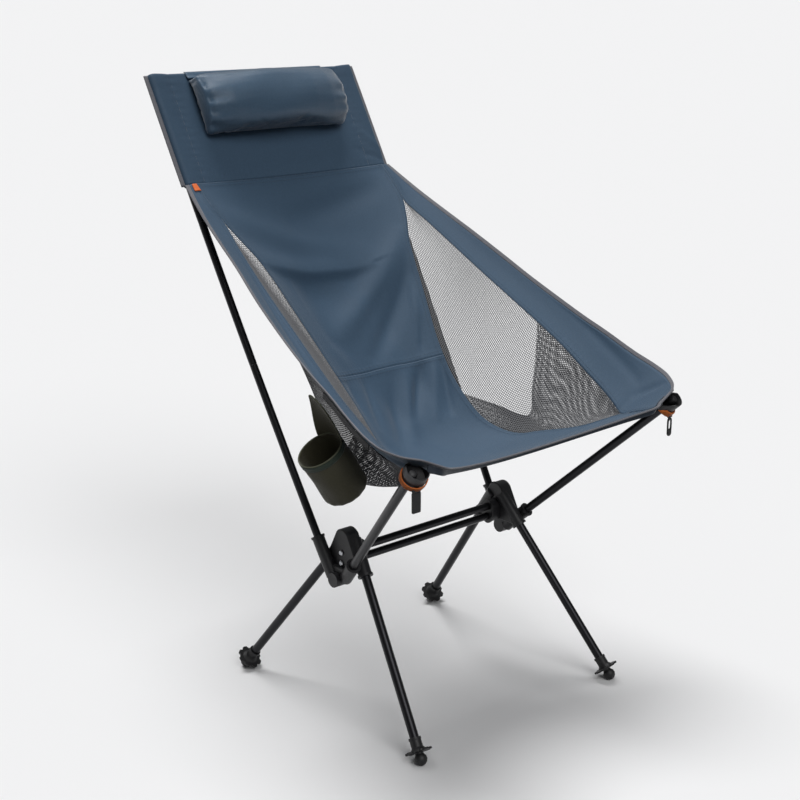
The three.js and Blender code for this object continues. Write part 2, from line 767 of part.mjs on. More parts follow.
function seatPoint(u, share) {
  const middle = midline.getPoint(share);
  const edge = panelSeam.getPoint(share);
  const bow = u * u;
  const place = point(edge.x * u, middle.y + (edge.y - middle.y) * bow, middle.z + (edge.z - middle.z) * bow);
  const along = midline.getTangent(share);
  const behind = point(0, -along.z, along.y);
  return place.addScaledVector(behind, foldAt(u, share));
}

function halfRow(share, sign) {
  const panel = panelSeam.getPoint(share);
  const seam = bandSeamAt(share);
  const edge = outerEdge.getPoint(share);
  const row = [];
  for (let k = 1; k <= seatCells; k += 1) row.push(seatPoint((sign * k) / seatCells, share));
  const meshOut = point(seam.z - panel.z, 0, panel.x - seam.x).normalize();
  for (let k = 1; k <= meshCells; k += 1) {
    const across = k / meshCells;
    const belly = Math.min(meshBelly, panel.distanceTo(seam) / meshCells) * bulge(across);
    row.push(panel.clone().lerp(seam, across).addScaledVector(meshOut, belly));
  }
  const width = seam.distanceTo(edge);
  const bandOut = point(edge.z - seam.z, 0, seam.x - edge.x).normalize();
  for (let k = 1; k <= bandCells; k += 1) {
    const across = (k / bandCells) * (1 - bindingWidth / width);
    const hollow = bandHollow * Math.sin(Math.PI * share) * Math.sin(Math.PI * across);
    row.push(seam.clone().lerp(edge, across).addScaledVector(bandOut, hollow));
  }
  row.push(edge);
  for (const place of row.slice(seatCells)) place.x *= sign;
  return row;
}

function rowsAlong() {
  const meshRows = 20;
  const rows = [0, apexShare / 2];
  for (let j = 0; j <= meshRows; j += 1) rows.push(apexShare + ((tipShare - apexShare) * j) / meshRows);
  rows.push(...cornerRowShares.map((share) => tipShare + share * (1 - tipShare)));
  return rows;
}

const rowShares = rowsAlong();
const apexRow = rowShares.indexOf(apexShare);
const tipRow = rowShares.indexOf(tipShare);

function slingPoints() {
  const wholeRow = (share) => [
    ...halfRow(share, -1).reverse(), seatPoint(0, share), ...halfRow(share, 1),
  ];
  const rows = rowShares.map(wholeRow);
  const front = wholeRow(1);
  const inward = wholeRow((rowShares.at(-1) + 1) / 2);
  rows.push(front.map((place, k) => {
    const step = inward[k].clone().sub(place).normalize();
    return place.clone().addScaledVector(step, bindingWidth);
  }));
  rows.push(front);
  return rows;
}

function withNormals(points) {
  const normals = points.map((row) => row.map(() => point(0, 0, 0)));
  for (let j = 0; j + 1 < points.length; j += 1) {
    for (let k = 0; k + 1 < points[j].length; k += 1) {
      const across = points[j + 1][k + 1].clone().sub(points[j][k]);
      const other = points[j + 1][k].clone().sub(points[j][k + 1]);
      const face = other.cross(across);
      for (const [a, b] of [[j, k], [j, k + 1], [j + 1, k], [j + 1, k + 1]]) normals[a][b].add(face);
    }
  }
  return points.map((row, j) => row.map((place, k) => ({ point: place, normal: normals[j][k].normalize() })));
}

const sling = withNormals(slingPoints());
const frontRow = sling.length - 1;
const middleColumn = halfCells;
const waistRow = rowShares.findIndex((share) => share >= waistShare);
const part = (fromRow, toRow, fromColumn, toColumn) => sling
  .slice(fromRow, toRow + 1).map((row) => row.slice(fromColumn, toColumn + 1));

add('back_panel', sheet(part(0, waistRow, middleColumn - seatCells, middleColumn + seatCells)), cloth);
const seatRows = part(waistRow, frontRow - 1, middleColumn - seatCells, middleColumn + seatCells);
add('seat_panel', sheet(seatRows), cloth);

// The mesh comes to a point at both ends, where its last row is set back to keep some width
function meshRows(fromColumn, toColumn) {
  const rows = part(apexRow, tipRow, fromColumn, toColumn);
  const pullBack = (end, next) => end.map((vertex, k) => ({
    point: vertex.point.clone().lerp(next[k].point, meshPointShare), normal: next[k].normal,
  }));
  rows[0] = pullBack(rows[0], rows[1]);
  rows[rows.length - 1] = pullBack(rows[rows.length - 1], rows[rows.length - 2]);
  return rows;
}

// The net is open in a plain grid between its two narrow points
function stripShares() {
  const opening = (1 - (netOpenings + 1) * netStripShare) / netOpenings;
  const shares = [0];
  for (let i = 0; i < netOpenings; i += 1) {
    const start = shares.at(-1) + netStripShare;
    shares.push(start, start + opening);
  }
  return [...shares, 1];
}

// A point with its normal between those of a table, at a row and a share of the way across
function between(rows, row, share) {
  const column = share * (rows[0].length - 1);
  const j = Math.min(Math.floor(row), rows.length - 2);
  const k = Math.min(Math.floor(column), rows[0].length - 2);
  const mixed = (name) => {
    const across = (line) => line[k][name].clone().lerp(line[k + 1][name], column - k);
    return across(rows[j]).lerp(across(rows[j + 1]), row - j);
  };
  return { point: mixed('point'), normal: mixed('normal').normalize() };
}

function netGeometry(rows) {
  const shares = stripShares();
  const opened = (row) => row >= netFromRow && row < netToRow;
  const lines = rows.flatMap((_, row) => (opened(row) ? [row, row + netStripRowShare] : [row]));
  const table = lines.map((line) => shares.map((share) => between(rows, line, share)));
  const isOpen = (j, k) => k % 2 === 1 && !Number.isInteger(lines[j]);
  return sheet(table, clothThickness, seamGap / 2, isOpen);
}

for (const { name, sign } of sides) {
  const columns = (from, to) => [middleColumn + sign * from, middleColumn + sign * to].sort((a, b) => a - b);
  const [meshFrom, meshTo] = columns(seatCells, seatCells + meshCells);
  add(`side_mesh_${name}`, netGeometry(meshRows(meshFrom, meshTo)), mesh);
  const [bandFrom, bandTo] = columns(seatCells + meshCells, halfCells - 1);
  add(`side_band_${name}`, sheet(part(0, frontRow - 1, bandFrom, bandTo)), cloth);
}

// Binding: the outermost ring of the grid, from one shoulder round the front to the other
function bindingRows() {
  const last = sling[0].length - 1;
  const rows = [];
  for (let j = 0; j < frontRow; j += 1) rows.push([sling[j][0], sling[j][1]]);
  rows.push([sling[frontRow][0], sling[frontRow - 1][1]]);
  for (let k = 1; k < last; k += 1) {
    const before = sling[frontRow][k - 1].point;
    const collapsed = sling[frontRow][k].point.distanceTo(before) < seamGap;
    if (!collapsed) rows.push([sling[frontRow][k], sling[frontRow - 1][k]]);
  }
  rows.push([sling[frontRow][last], sling[frontRow - 1][last - 1]]);
  for (let j = frontRow - 1; j >= 0; j -= 1) rows.push([sling[j][last], sling[j][last - 1]]);
  return rows;
}

add('edge_binding', sheet(bindingRows(), bindingThickness), tape);

// A strip of cloth or webbing that hangs from the underside of the binding
function hangingStrip(pairs, depthAt) {
  const tops = pairs.map(([outer, inner]) => {
    const middle = outer.point.clone().lerp(inner.point, 0.5);
    return middle.addScaledVector(outer.normal, -bindingThickness);
  });
  return tops.map((top, i) => {
    const along = tops[Math.min(i + 1, tops.length - 1)].clone().sub(tops[Math.max(i - 1, 0)]);
    const normal = along.cross(zAxis).normalize();
    const drop = depthAt(top);
    return [0, drop].map((down) => ({ point: top.clone().addScaledVector(zAxis, -down), normal }));
  });
}

const hemPairs = [];
for (let k = -seatCells; k <= seatCells; k += 1) {
  hemPairs.push([sling[frontRow][middleColumn + k], sling[frontRow - 1][middleColumn + k]]);
}
const hemDepthAt = (top) => hemDepth * (1 + (top.x / seatPoleTipX) ** 2);
add('front_hem', sheet(hangingStrip(hemPairs, hemDepthAt), clothThickness, 0), darkCloth);

const webbingPairs = sling
  .filter((row, j) => rowShares[j] >= webbingFromShare && rowShares[j] <= tipShare)
  .map((row) => [row[0], row[1]]);
add('pouch_webbing', sheet(hangingStrip(webbingPairs, () => webbingWidth), clothThickness, 0), webbing);

// Outer pocket on each side: it hangs from the band, turns in at the bottom and ends under the seat
const pocketBottomShares = [
  [0.742, 0.347, -0.145], [0.746, 0.298, -0.17], [0.732, 0.23, -0.166], [0.686, 0.161, -0.145],
  [0.753, 0.1, -0.108],
];

function pocketRows(sign) {
  const bottomCurve = new THREE.CatmullRomCurve3(pocketBottomShares.map(slingPlace));
  const steps = 9;
  const wallCells = 4;
  return withNormals(Array.from({ length: steps + 1 }, (_, j) => {
    const share = j / steps;
    const along = pocketFromShare + (pocketToShare - pocketFromShare) * share;
    const seam = bandSeamAt(along);
    const edge = outerEdge.getPoint(along);
    const under = point(edge.z - seam.z, 0, seam.x - edge.x).normalize();
    const fall = bandHollow + 2 * clothThickness;
    const top = seam.clone().lerp(edge, pocketTopShare).addScaledVector(under, fall);
    const bottom = bottomCurve.getPoint(share);
    const seatSeamShare = pocketSeamFromShare + (pocketSeamToShare - pocketSeamFromShare) * share;
    const seatEnd = panelSeam.getPoint(seatSeamShare).addScaledVector(zAxis, -2 * clothThickness);
    const out = point(top.z - bottom.z, 0, bottom.x - top.x).normalize();
    const row = [];
    for (let k = 0; k <= wallCells; k += 1) {
      const down = k / wallCells;
      const belly = (sign < 0 ? -pocketDent : pocketBelly) * bulge(down);
      row.push(top.clone().lerp(bottom, down).addScaledVector(out, belly));
    }
    row.push(bottom.clone().lerp(seatEnd, 0.5), seatEnd);
    for (const place of row) place.x *= sign;
    return row;
  }));
}

for (const { name, sign } of sides) add(`side_pocket_${name}`, sheet(pocketRows(sign)), mesh);

// Pole cup under each front corner: open below for the pole, solid above its tip
function cupPlaces(sign) {
  const axis = seatPoleAxis(sign);
  const way = axis.to.clone().sub(axis.from).normalize();
  const inwards = point(-sign, 0, 0).addScaledVector(way, sign * way.x).normalize();
  const seat = axis.to.clone().addScaledVector(inwards, cupInset);
  const mouth = seat.clone().addScaledVector(way, -cupDepth);
  return { way, seat, mouth };
}

// Everything above the cloth at one front corner, as one block
function aboveCorner(sign) {
  const columns = [0, 1, bandCells, bandCells + 1, bandCells + meshCells + 1, halfCells - meshCells];
  const raised = (vertex) => ({
    point: vertex.point.clone().addScaledVector(zAxis, cornerBlock / 2 - cornerDrop), normal: zAxis,
  });
  const rows = sling.slice(tipRow - seatCells).map((row) => columns.map((k) => (
    raised(row[sign > 0 ? row.length - 1 - k : k])
  )));
  return toSolid(sheet(rows, cornerBlock, 0));
}

function cupGeometry(sign) {
  const { seat, mouth } = cupPlaces(sign);
  const inner = cupMouthRadius - cupWall;
  const floor = cupDepth + slidingClearance;
  const profile = [
    [inner, 0], [cupMouthRadius, 0], [cupRadius, cupDepth + cupReach], [0, cupDepth + cupReach],
    [0, floor], [cupRadius - cupWall, floor], [inner, 0],
  ];
  const front = outerEdge.getPoint(1);
  const ahead = new THREE.BoxGeometry(cornerBlock, cornerBlock, cornerBlock);
  ahead.translate(sign * front.x, front.y - cornerBlock / 2, front.z);
  const cup = toSolid(revolve(profile).applyMatrix4(turned(mouth, seat)));
  const aroundBinding = sheet(bindingRows(), bindingThickness + 2 * seamGap, -seamGap);
  const open = cup.subtract(aboveCorner(sign)).subtract(toSolid(ahead));
  return toGeometry(open.subtract(toSolid(aroundBinding)));
}

for (const { name, sign } of sides) {
  const { seat, mouth, way } = cupPlaces(sign);
  add(`pole_cup_${name}`, cupGeometry(sign), nylon);
  const bandInner = cupMouthRadius + slidingClearance;
  const ring = tube(bandInner + cupBandThickness, bandInner, cupBandWidth).applyMatrix4(turned(mouth, seat));
  add(`cup_band_${name}`, toGeometry(toSolid(ring).subtract(aboveCorner(sign))), orange);
  const down = point(0, 0, -1).addScaledVector(way, way.z).normalize();
  const under = mouth.clone().addScaledVector(down, bandInner + cupBandThickness);
  const hang = under.addScaledVector(zAxis, -slidingClearance);
  if (sign < 0) add(`pull_strap_${name}`, strapGeometry(), webbing).position.copy(hang);
  else add(`pull_loop_${name}`, loopGeometry(), webbing).position.copy(hang);
}

// Both pulls turn about a line through their rounded top
function strapGeometry() {
  const half = strapThickness / 2;
  const shape = new THREE.Shape();
  shape.moveTo(-half, -strapLength);
  shape.lineTo(half, -strapLength);
  shape.absarc(0, -half, half, 0, Math.PI);
  return slabAlongX(shape, -strapWidth / 2, strapWidth / 2);
}

function loopGeometry() {
  const shape = roundedSlot(loopWidth / 2, loopLength / 2, -loopLength / 2);
  const slotMiddle = -loopWidth / 2 - loopSlotLength / 2;
  const slot = new THREE.Path();
  const straight = (loopSlotLength - loopSlotWidth) / 2;
  slot.absarc(0, slotMiddle + straight, loopSlotWidth / 2, 0, Math.PI);
  slot.absarc(0, slotMiddle - straight, loopSlotWidth / 2, Math.PI, Math.PI * 2);
  shape.holes.push(slot);
  const half = strapThickness / 2;
  const loop = slabAlongX(shape, -half, half, strapThickness / 3, smallSides / 3);
  return loop.rotateZ(Math.PI / 2);
}

// Pillow: a half-round roll against the headrest, drawn in towards its flat ends
function loft(rings) {
  const count = rings[0].length;
  const positions = rings.flat().flatMap((place) => place.toArray());
  const index = [];
  for (let j = 0; j + 1 < rings.length; j += 1) {
    for (let k = 0; k < count; k += 1) {
      const next = (k + 1) % count;
      const [a, b, c, d] = [j * count + k, j * count + next, (j + 1) * count + next, (j + 1) * count + k];
      index.push(a, b, c, a, c, d);
    }
  }
  const last = (rings.length - 1) * count;
  for (let k = 1; k + 1 < count; k += 1) {
    index.push(0, k + 1, k, last, last + k, last + k + 1);
  }
  return closed(positions, index);
}

const pillowOut = headSlack + clothThickness / 2 + seamGap;
const pillowTop = headrestHeight - pillowHang;
const pillowRingShares = [-1, -0.97, -0.88, -0.7, -0.45, -0.15, 0.15, 0.45, 0.7, 0.88, 0.97, 1];

function pillowRing(share) {
  const end = Math.abs(share) ** pillowEndPower;
  const depth = pillowDepth - (pillowDepth - pillowEndDepth) * end;
  const half = (pillowHeight / 2) * (1 - pillowNarrowShare * end);
  const middle = pillowTop - pillowHeight / 2;
  const steps = 12;
  const ring = [];
  for (let i = 0; i <= steps; i += 1) {
    const angle = (i / steps) * Math.PI;
    const out = pillowOut + depth * Math.sin(angle) ** pillowCrownPower;
    ring.push(headPoint((share * pillowLength) / 2, middle + half * Math.cos(angle), out));
  }
  return ring;
}

add('pillow', loft(pillowRingShares.map(pillowRing)), cloth);

const flapPath = [
  [pillowTop + seamGap, pillowOut + clothThickness],
  [(pillowTop + headrestHeight) / 2, pillowOut + clothThickness],
  [headrestHeight + seamGap, pillowOut + clothThickness / 2],
  [headrestHeight + bindingThickness, headSlack],
];
const flapRows = flapPath.map(([up, out], i) => {
  const [beforeUp, beforeOut] = flapPath[Math.max(i - 1, 0)];
  const [afterUp, afterOut] = flapPath[Math.min(i + 1, flapPath.length - 1)];
  const lift = new THREE.Vector2(afterUp - beforeUp, afterOut - beforeOut).normalize();
  const normal = headNormal.clone().multiplyScalar(lift.x).addScaledVector(headUp, -lift.y);
  return [-0.5, 0, 0.5].map((share) => ({ point: headPoint(share * pillowFlapLength, up, out), normal }));
});
add('pillow_flap', sheet(flapRows, clothThickness, 0), cloth);

// Drink pouch: a cloth cup that leans outwards, with a back flap up to the webbing
function pouchGeometry() {
  const inner = pouchRadius - pouchWall;
  const corner = pouchRadius / 4;
  const cup = revolve([
    [0, 0], [pouchRadius - corner, 0], [pouchRadius, corner], [pouchRadius, pouchDepth],
    [inner, pouchDepth], [inner, corner], [inner - corner, pouchWall], [0, pouchWall],
  ]);
  const middle = pouchRadius - pouchWall / 2;
  const rise = pouchFlapHeight + pouchWall * 3;
  const rows = [0, 0.25, 0.5, 0.75, 1].map((share) => [-1, -0.5, 0, 0.5, 1].map((across) => {
    const angle = across * pouchFlapSpread * (1 - pouchFlapTaperShare * share);
    const normal = point(Math.cos(angle), Math.sin(angle), 0);
    const height = pouchDepth - pouchWall * 3 + rise * share;
    return { point: normal.clone().multiplyScalar(middle).setZ(height), normal };
  }));
  return toGeometry(toSolid(cup).add(toSolid(sheet(rows, pouchWall, 0))));
}

const pouchUp = point(...pouchLeanShares).normalize();
const pouchIn = point(1, 0, 0).addScaledVector(pouchUp, -pouchUp.x).normalize();
const pouch = add('drink_pouch', pouchGeometry(), olive);
pouch.position.set(
  -seatPoleTipX - pouchRimReach, seatPoleTipY + pouchRimBack, seatPoleTipHeight - pouchRimDrop,
).addScaledVector(pouchUp, -pouchDepth);
pouch.quaternion.setFromRotationMatrix(
  new THREE.Matrix4().makeBasis(pouchIn, pouchUp.clone().cross(pouchIn), pouchUp),
);

export default chair;
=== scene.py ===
# %% Load the fixed frame
import json
import math

import bmesh
import bpy
import numpy as np
from mathutils import Matrix, Vector
from mathutils.bvhtree import BVHTree
from mathutils.geometry import barycentric_transform


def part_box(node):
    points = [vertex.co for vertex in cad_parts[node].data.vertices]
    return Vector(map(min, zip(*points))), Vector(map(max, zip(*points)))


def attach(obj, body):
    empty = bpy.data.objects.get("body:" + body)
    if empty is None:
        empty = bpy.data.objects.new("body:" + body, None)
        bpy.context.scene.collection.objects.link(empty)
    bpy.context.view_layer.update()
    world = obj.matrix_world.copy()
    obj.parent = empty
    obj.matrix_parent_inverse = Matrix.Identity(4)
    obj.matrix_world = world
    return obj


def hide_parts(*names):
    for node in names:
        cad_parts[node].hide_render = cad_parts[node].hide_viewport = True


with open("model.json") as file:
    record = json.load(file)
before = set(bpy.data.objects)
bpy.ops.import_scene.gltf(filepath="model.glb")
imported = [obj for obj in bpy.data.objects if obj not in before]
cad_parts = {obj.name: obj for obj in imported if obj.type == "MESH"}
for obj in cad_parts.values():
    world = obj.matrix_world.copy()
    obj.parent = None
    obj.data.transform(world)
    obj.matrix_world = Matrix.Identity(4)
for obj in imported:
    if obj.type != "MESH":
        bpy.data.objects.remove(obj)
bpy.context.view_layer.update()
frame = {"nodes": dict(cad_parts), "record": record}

nodes = frame["nodes"]
print("pieces in the frame:", len(nodes))

# %% [markdown]
# The chair is a stretched cloth sling on a frame of thin poles. The photograph is taken from the
# front left and a little above the seat, with a long lens. A camera is placed by two angles, a
# distance and the point that it looks at, because these can be measured one at a time.

# %% Camera
azimuth = math.radians(-41.48)
elevation = math.radians(15.85)
camera_distance = 2.344
aim = Vector((-0.0596, -0.0875, 0.4925))
lens_mm = 66.6
sensor_mm = 36.0

away = Vector((
    math.sin(azimuth) * math.cos(elevation),
    -math.cos(azimuth) * math.cos(elevation),
    math.sin(elevation),
))
camera_data = bpy.data.cameras.new("camera")
camera_data.lens = lens_mm
camera_data.sensor_width = sensor_mm
camera = bpy.data.objects.new("camera", camera_data)
camera.location = aim + camera_distance * away
camera.rotation_euler = away.to_track_quat("Z", "Y").to_euler()
bpy.context.scene.collection.objects.link(camera)
bpy.context.scene.camera = camera
print("camera at", [round(value, 3) for value in camera.location])

# %% [markdown]
# The studio is a very large pale floor. The camera looks down a little, so the floor fills the
# whole picture, and broad distant lights keep its tone even. The main light stands high behind the
# chair: it makes the top of the pillow bright, and back and seat shade themselves. A weaker light
# from the front draws the folds. The surround is dim, and dimmer below, so that the undersides stay
# dark as in the photograph. The floor throws no light back at the chair for the same reason.

# %% Floor and lights
floor_radius = 150.0
floor_colour = (0.87, 0.87, 0.875, 1.0)
key_light = {"azimuth": 170, "elevation": 72, "spread": 34, "strength": 2.1}
front_light = {"azimuth": -15, "elevation": 46, "spread": 36, "strength": 1.1}
surround_above, surround_below = 0.145, 0.01
horizon_blur = 0.25


def new_material(name):
    material = bpy.data.materials.new(name)
    material.use_nodes = True
    shader = material.node_tree.nodes["Principled BSDF"]
    return material, material.node_tree, shader


def make_floor():
    mesh = bmesh.new()
    bmesh.ops.create_circle(mesh, cap_ends=True, cap_tris=True, segments=64, radius=floor_radius)
    data = bpy.data.meshes.new("floor")
    mesh.to_mesh(data)
    mesh.free()
    floor = bpy.data.objects.new("floor", data)
    bpy.context.scene.collection.objects.link(floor)
    floor.visible_diffuse = False
    material, _, shader = new_material("pale_floor")
    shader.inputs["Base Color"].default_value = floor_colour
    shader.inputs["Roughness"].default_value = 1.0
    shader.inputs["Specular IOR Level"].default_value = 0.0
    data.materials.append(material)
    return floor


def broad_light(name, azimuth, elevation, spread, strength):
    """A distant light: its azimuth turns from -Y towards +X, and its spread is its width in degrees."""
    turn, rise = math.radians(azimuth), math.radians(elevation)
    towards = Vector((
        math.sin(turn) * math.cos(rise), -math.cos(turn) * math.cos(rise), math.sin(rise),
    ))
    data = bpy.data.lights.new(name, "SUN")
    data.energy = strength
    data.angle = math.radians(spread)
    light = bpy.data.objects.new(name, data)
    light.rotation_euler = towards.to_track_quat("Z", "Y").to_euler()
    bpy.context.scene.collection.objects.link(light)
    return light


def make_surround():
    world = bpy.data.worlds.new("surround")
    world.use_nodes = True
    tree = world.node_tree
    background = tree.nodes["Background"]
    background.inputs["Color"].default_value = (0.97, 0.98, 1.0, 1.0)
    coordinates = tree.nodes.new("ShaderNodeTexCoord")
    parts = tree.nodes.new("ShaderNodeSeparateXYZ")
    strength = tree.nodes.new("ShaderNodeMapRange")
    strength.inputs["From Min"].default_value = -horizon_blur
    strength.inputs["From Max"].default_value = horizon_blur
    strength.inputs["To Min"].default_value = surround_below
    strength.inputs["To Max"].default_value = surround_above
    tree.links.new(coordinates.outputs["Generated"], parts.inputs["Vector"])
    tree.links.new(parts.outputs["Z"], strength.inputs["Value"])
    tree.links.new(strength.outputs["Result"], background.inputs["Strength"])
    bpy.context.scene.world = world


make_floor()
broad_light("key_light", **key_light)
broad_light("front_light", **front_light)
make_surround()
bpy.context.scene.view_settings.view_transform = "Standard"

# %% [markdown]
# Every finish is built from shader nodes. Cloth takes its weave from a UV map that is laid out in
# metres, so threads keep one size on every panel. A noise in object coordinates gives the slow
# change of tone that real cloth has.

# %% Finishes of cloth
cloth_tone_scale = 420.0


def lighter(colour, factor):
    return tuple(min(1.0, channel * factor) for channel in colour) + (1.0,)


def tone_noise(tree, shader, colour, scale, spread):
    """Base colour that wanders a little round one colour."""
    coordinates = tree.nodes.new("ShaderNodeTexCoord")
    noise = tree.nodes.new("ShaderNodeTexNoise")
    noise.inputs["Scale"].default_value = scale
    noise.inputs["Detail"].default_value = 4.0
    ramp = tree.nodes.new("ShaderNodeValToRGB")
    ramp.color_ramp.elements[0].position = 0.3
    ramp.color_ramp.elements[1].position = 0.7
    ramp.color_ramp.elements[0].color = lighter(colour, 1 - spread)
    ramp.color_ramp.elements[1].color = lighter(colour, 1 + spread)
    tree.links.new(coordinates.outputs["Object"], noise.inputs["Vector"])
    tree.links.new(noise.outputs["Fac"], ramp.inputs["Fac"])
    tree.links.new(ramp.outputs["Color"], shader.inputs["Base Color"])
    return coordinates


def thread_waves(tree, coordinates, pitch, output):
    """Two crossed sets of threads, one thread per pitch, as a height from 0 to 1."""
    waves = []
    for direction in ("X", "Y"):
        wave = tree.nodes.new("ShaderNodeTexWave")
        wave.bands_direction = direction
        wave.inputs["Scale"].default_value = math.tau / (20 * pitch)
        tree.links.new(coordinates.outputs[output], wave.inputs["Vector"])
        waves.append(wave)
    both = tree.nodes.new("ShaderNodeMath")
    both.operation = "MULTIPLY"
    tree.links.new(waves[0].outputs["Fac"], both.inputs[0])
    tree.links.new(waves[1].outputs["Fac"], both.inputs[1])
    return both


def woven(name, colour, pitch=0.0009, roughness=0.62, sheen=0.25, spread=0.07, grain=0.35, output="UV"):
    material, tree, shader = new_material(name)
    coordinates = tone_noise(tree, shader, colour, cloth_tone_scale, spread)
    threads = thread_waves(tree, coordinates, pitch, output)
    bump = tree.nodes.new("ShaderNodeBump")
    bump.inputs["Strength"].default_value = grain
    bump.inputs["Distance"].default_value = pitch / 3
    tree.links.new(threads.outputs["Value"], bump.inputs["Height"])
    tree.links.new(bump.outputs["Normal"], shader.inputs["Normal"])
    shader.inputs["Roughness"].default_value = roughness
    shader.inputs["Sheen Weight"].default_value = sheen
    shader.inputs["Sheen Roughness"].default_value = 0.4
    shader.inputs["Specular IOR Level"].default_value = 0.35
    return material


sling_colour = (0.049, 0.096, 0.157)
# The pillow's cloth is the sling's blue made lighter: painted light for the bright top of the pillow.
pillow_colour_painted_lighter = (0.064, 0.122, 0.194)
sling_cloth = woven("sling_cloth", sling_colour)
pillow_cloth = woven("pillow_cloth", pillow_colour_painted_lighter, roughness=0.30, sheen=0.9)
# The turned-down front hem is the sling's cloth, darkened here as painted shade for the shade under the edge.
dark_cloth = woven("dark_cloth", (0.020, 0.032, 0.050))
olive_cloth = woven("olive_cloth", (0.060, 0.056, 0.032), spread=0.12)
olive_piping = woven("olive_piping", (0.10, 0.105, 0.065))
olive_hem = woven("olive_hem", (0.020, 0.034, 0.022))
orange_tape = woven("orange_tape", (0.84, 0.17, 0.035), pitch=0.0012, sheen=0.1)
grey_tape = woven("grey_tape", (0.20, 0.20, 0.222), pitch=0.0022, grain=0.9)
black_webbing = woven("black_webbing", (0.011, 0.011, 0.013), pitch=0.0022, grain=0.8)
black_strap = woven("black_strap", (0.011, 0.011, 0.013), pitch=0.0018, grain=0.8, output="Object")
# The cups' band is orange tape made lighter: its own orange plus painted light on its front.
orange_band = woven("orange_band", (0.95, 0.24, 0.045), pitch=0.0014, sheen=0.3, output="Object")
net_thread = woven("net_thread", (0.18, 0.182, 0.19), sheen=0.1)
dark_net_thread = woven("dark_net_thread", (0.050, 0.050, 0.056), sheen=0.1)
blue_thread = woven("blue_thread", (0.030, 0.055, 0.090))
grey_thread = woven("grey_thread", (0.30, 0.31, 0.34))
print("cloth finishes:", len(bpy.data.materials))

# %% [markdown]
# The poles are anodised aluminium: a metal shader with a dark base and a roughness that changes a
# little along the tube. The moulded pieces are glass-filled nylon with a fine grain.

# %% Finishes of metal and mouldings
hard_tone_scale = 60.0
hard_tone_spread = 0.05
roughness_spread = 0.15


def hard_finish(name, colour, metallic, roughness, grain_scale, grain_depth):
    material, tree, shader = new_material(name)
    coordinates = tone_noise(tree, shader, colour, hard_tone_scale, hard_tone_spread)
    grain = tree.nodes.new("ShaderNodeTexNoise")
    grain.inputs["Scale"].default_value = grain_scale
    grain.inputs["Detail"].default_value = 3.0
    tree.links.new(coordinates.outputs["Object"], grain.inputs["Vector"])
    rough = tree.nodes.new("ShaderNodeMapRange")
    rough.inputs["To Min"].default_value = roughness * (1 - roughness_spread)
    rough.inputs["To Max"].default_value = roughness * (1 + roughness_spread)
    tree.links.new(grain.outputs["Fac"], rough.inputs["Value"])
    tree.links.new(rough.outputs["Result"], shader.inputs["Roughness"])
    bump = tree.nodes.new("ShaderNodeBump")
    bump.inputs["Strength"].default_value = 0.25
    bump.inputs["Distance"].default_value = grain_depth
    tree.links.new(grain.outputs["Fac"], bump.inputs["Height"])
    tree.links.new(bump.outputs["Normal"], shader.inputs["Normal"])
    shader.inputs["Metallic"].default_value = metallic
    return material


anodised = hard_finish("anodised", (0.024, 0.024, 0.027), 0.75, 0.34, 900.0, 0.00004)
nylon = hard_finish("moulded_nylon", (0.014, 0.014, 0.016), 0.0, 0.46, 1600.0, 0.0001)
foot_plastic = hard_finish("foot_plastic", (0.012, 0.012, 0.013), 0.0, 0.5, 1600.0, 0.0001)
steel = hard_finish("steel", (0.42, 0.43, 0.45), 1.0, 0.32, 1200.0, 0.00003)
print("all finishes:", len(bpy.data.materials))

# %% [markdown]
# The frame comes as loose triangles. A copy of a piece is welded at its corners, and its flat
# faces are joined again. Then a small bevel and a subdivision make tubes round and edges soft,
# which keeps every size while facets disappear.

# %% Helpers for pieces
weld_distance = 0.000002


def merged(node):
    mesh = bmesh.new()
    mesh.from_mesh(nodes[node].data)
    bmesh.ops.remove_doubles(mesh, verts=mesh.verts, dist=weld_distance)
    return mesh


def body_of(node):
    bodies = frame["record"]["behaviour"]["bodies"]
    return next(name for name, members in bodies.items() if node in members)


def piece(name, mesh, material, body, replaced=()):
    data = bpy.data.meshes.new(name)
    mesh.to_mesh(data)
    mesh.free()
    data.materials.append(material)
    for polygon in data.polygons:
        polygon.use_smooth = True
    made = bpy.data.objects.new(name, data)
    bpy.context.scene.collection.objects.link(made)
    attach(made, body)
    if replaced:
        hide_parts(*replaced)
    return made


def smooth_copy(node, material, edge=0.0003, levels=2, sharp=50):
    mesh = merged(node)
    bmesh.ops.join_triangles(
        mesh, faces=mesh.faces, angle_face_threshold=math.radians(10), angle_shape_threshold=math.radians(60),
    )
    made = piece(f"{node}_finished", mesh, material, body_of(node), [node])
    bevel = made.modifiers.new("soft_edges", "BEVEL")
    bevel.width = edge
    bevel.segments = 1
    bevel.limit_method = "ANGLE"
    bevel.angle_limit = math.radians(sharp)
    rounding = made.modifiers.new("rounding", "SUBSURF")
    rounding.levels = levels
    rounding.render_levels = levels
    return made


sides = {"left": -1, "right": 1}
ends = ("front", "rear")
for side in sides:
    for end in ends:
        smooth_copy(f"leg_tube_{end}_{side}", anodised)
    for part in ("lower", "middle", "upper"):
        smooth_copy(f"upright_{part}_{side}", anodised)
    smooth_copy(f"seat_pole_{side}", anodised)
for part in ("upper", "lower"):
    smooth_copy(f"crossbar_{part}", anodised)

# %% [markdown]
# The hubs have many small faces where sockets, arch and boss run together. A subdivision would
# wobble there, so they only get their edges rounded and their faces shaded by angle.

# %% Hubs, feet and tips


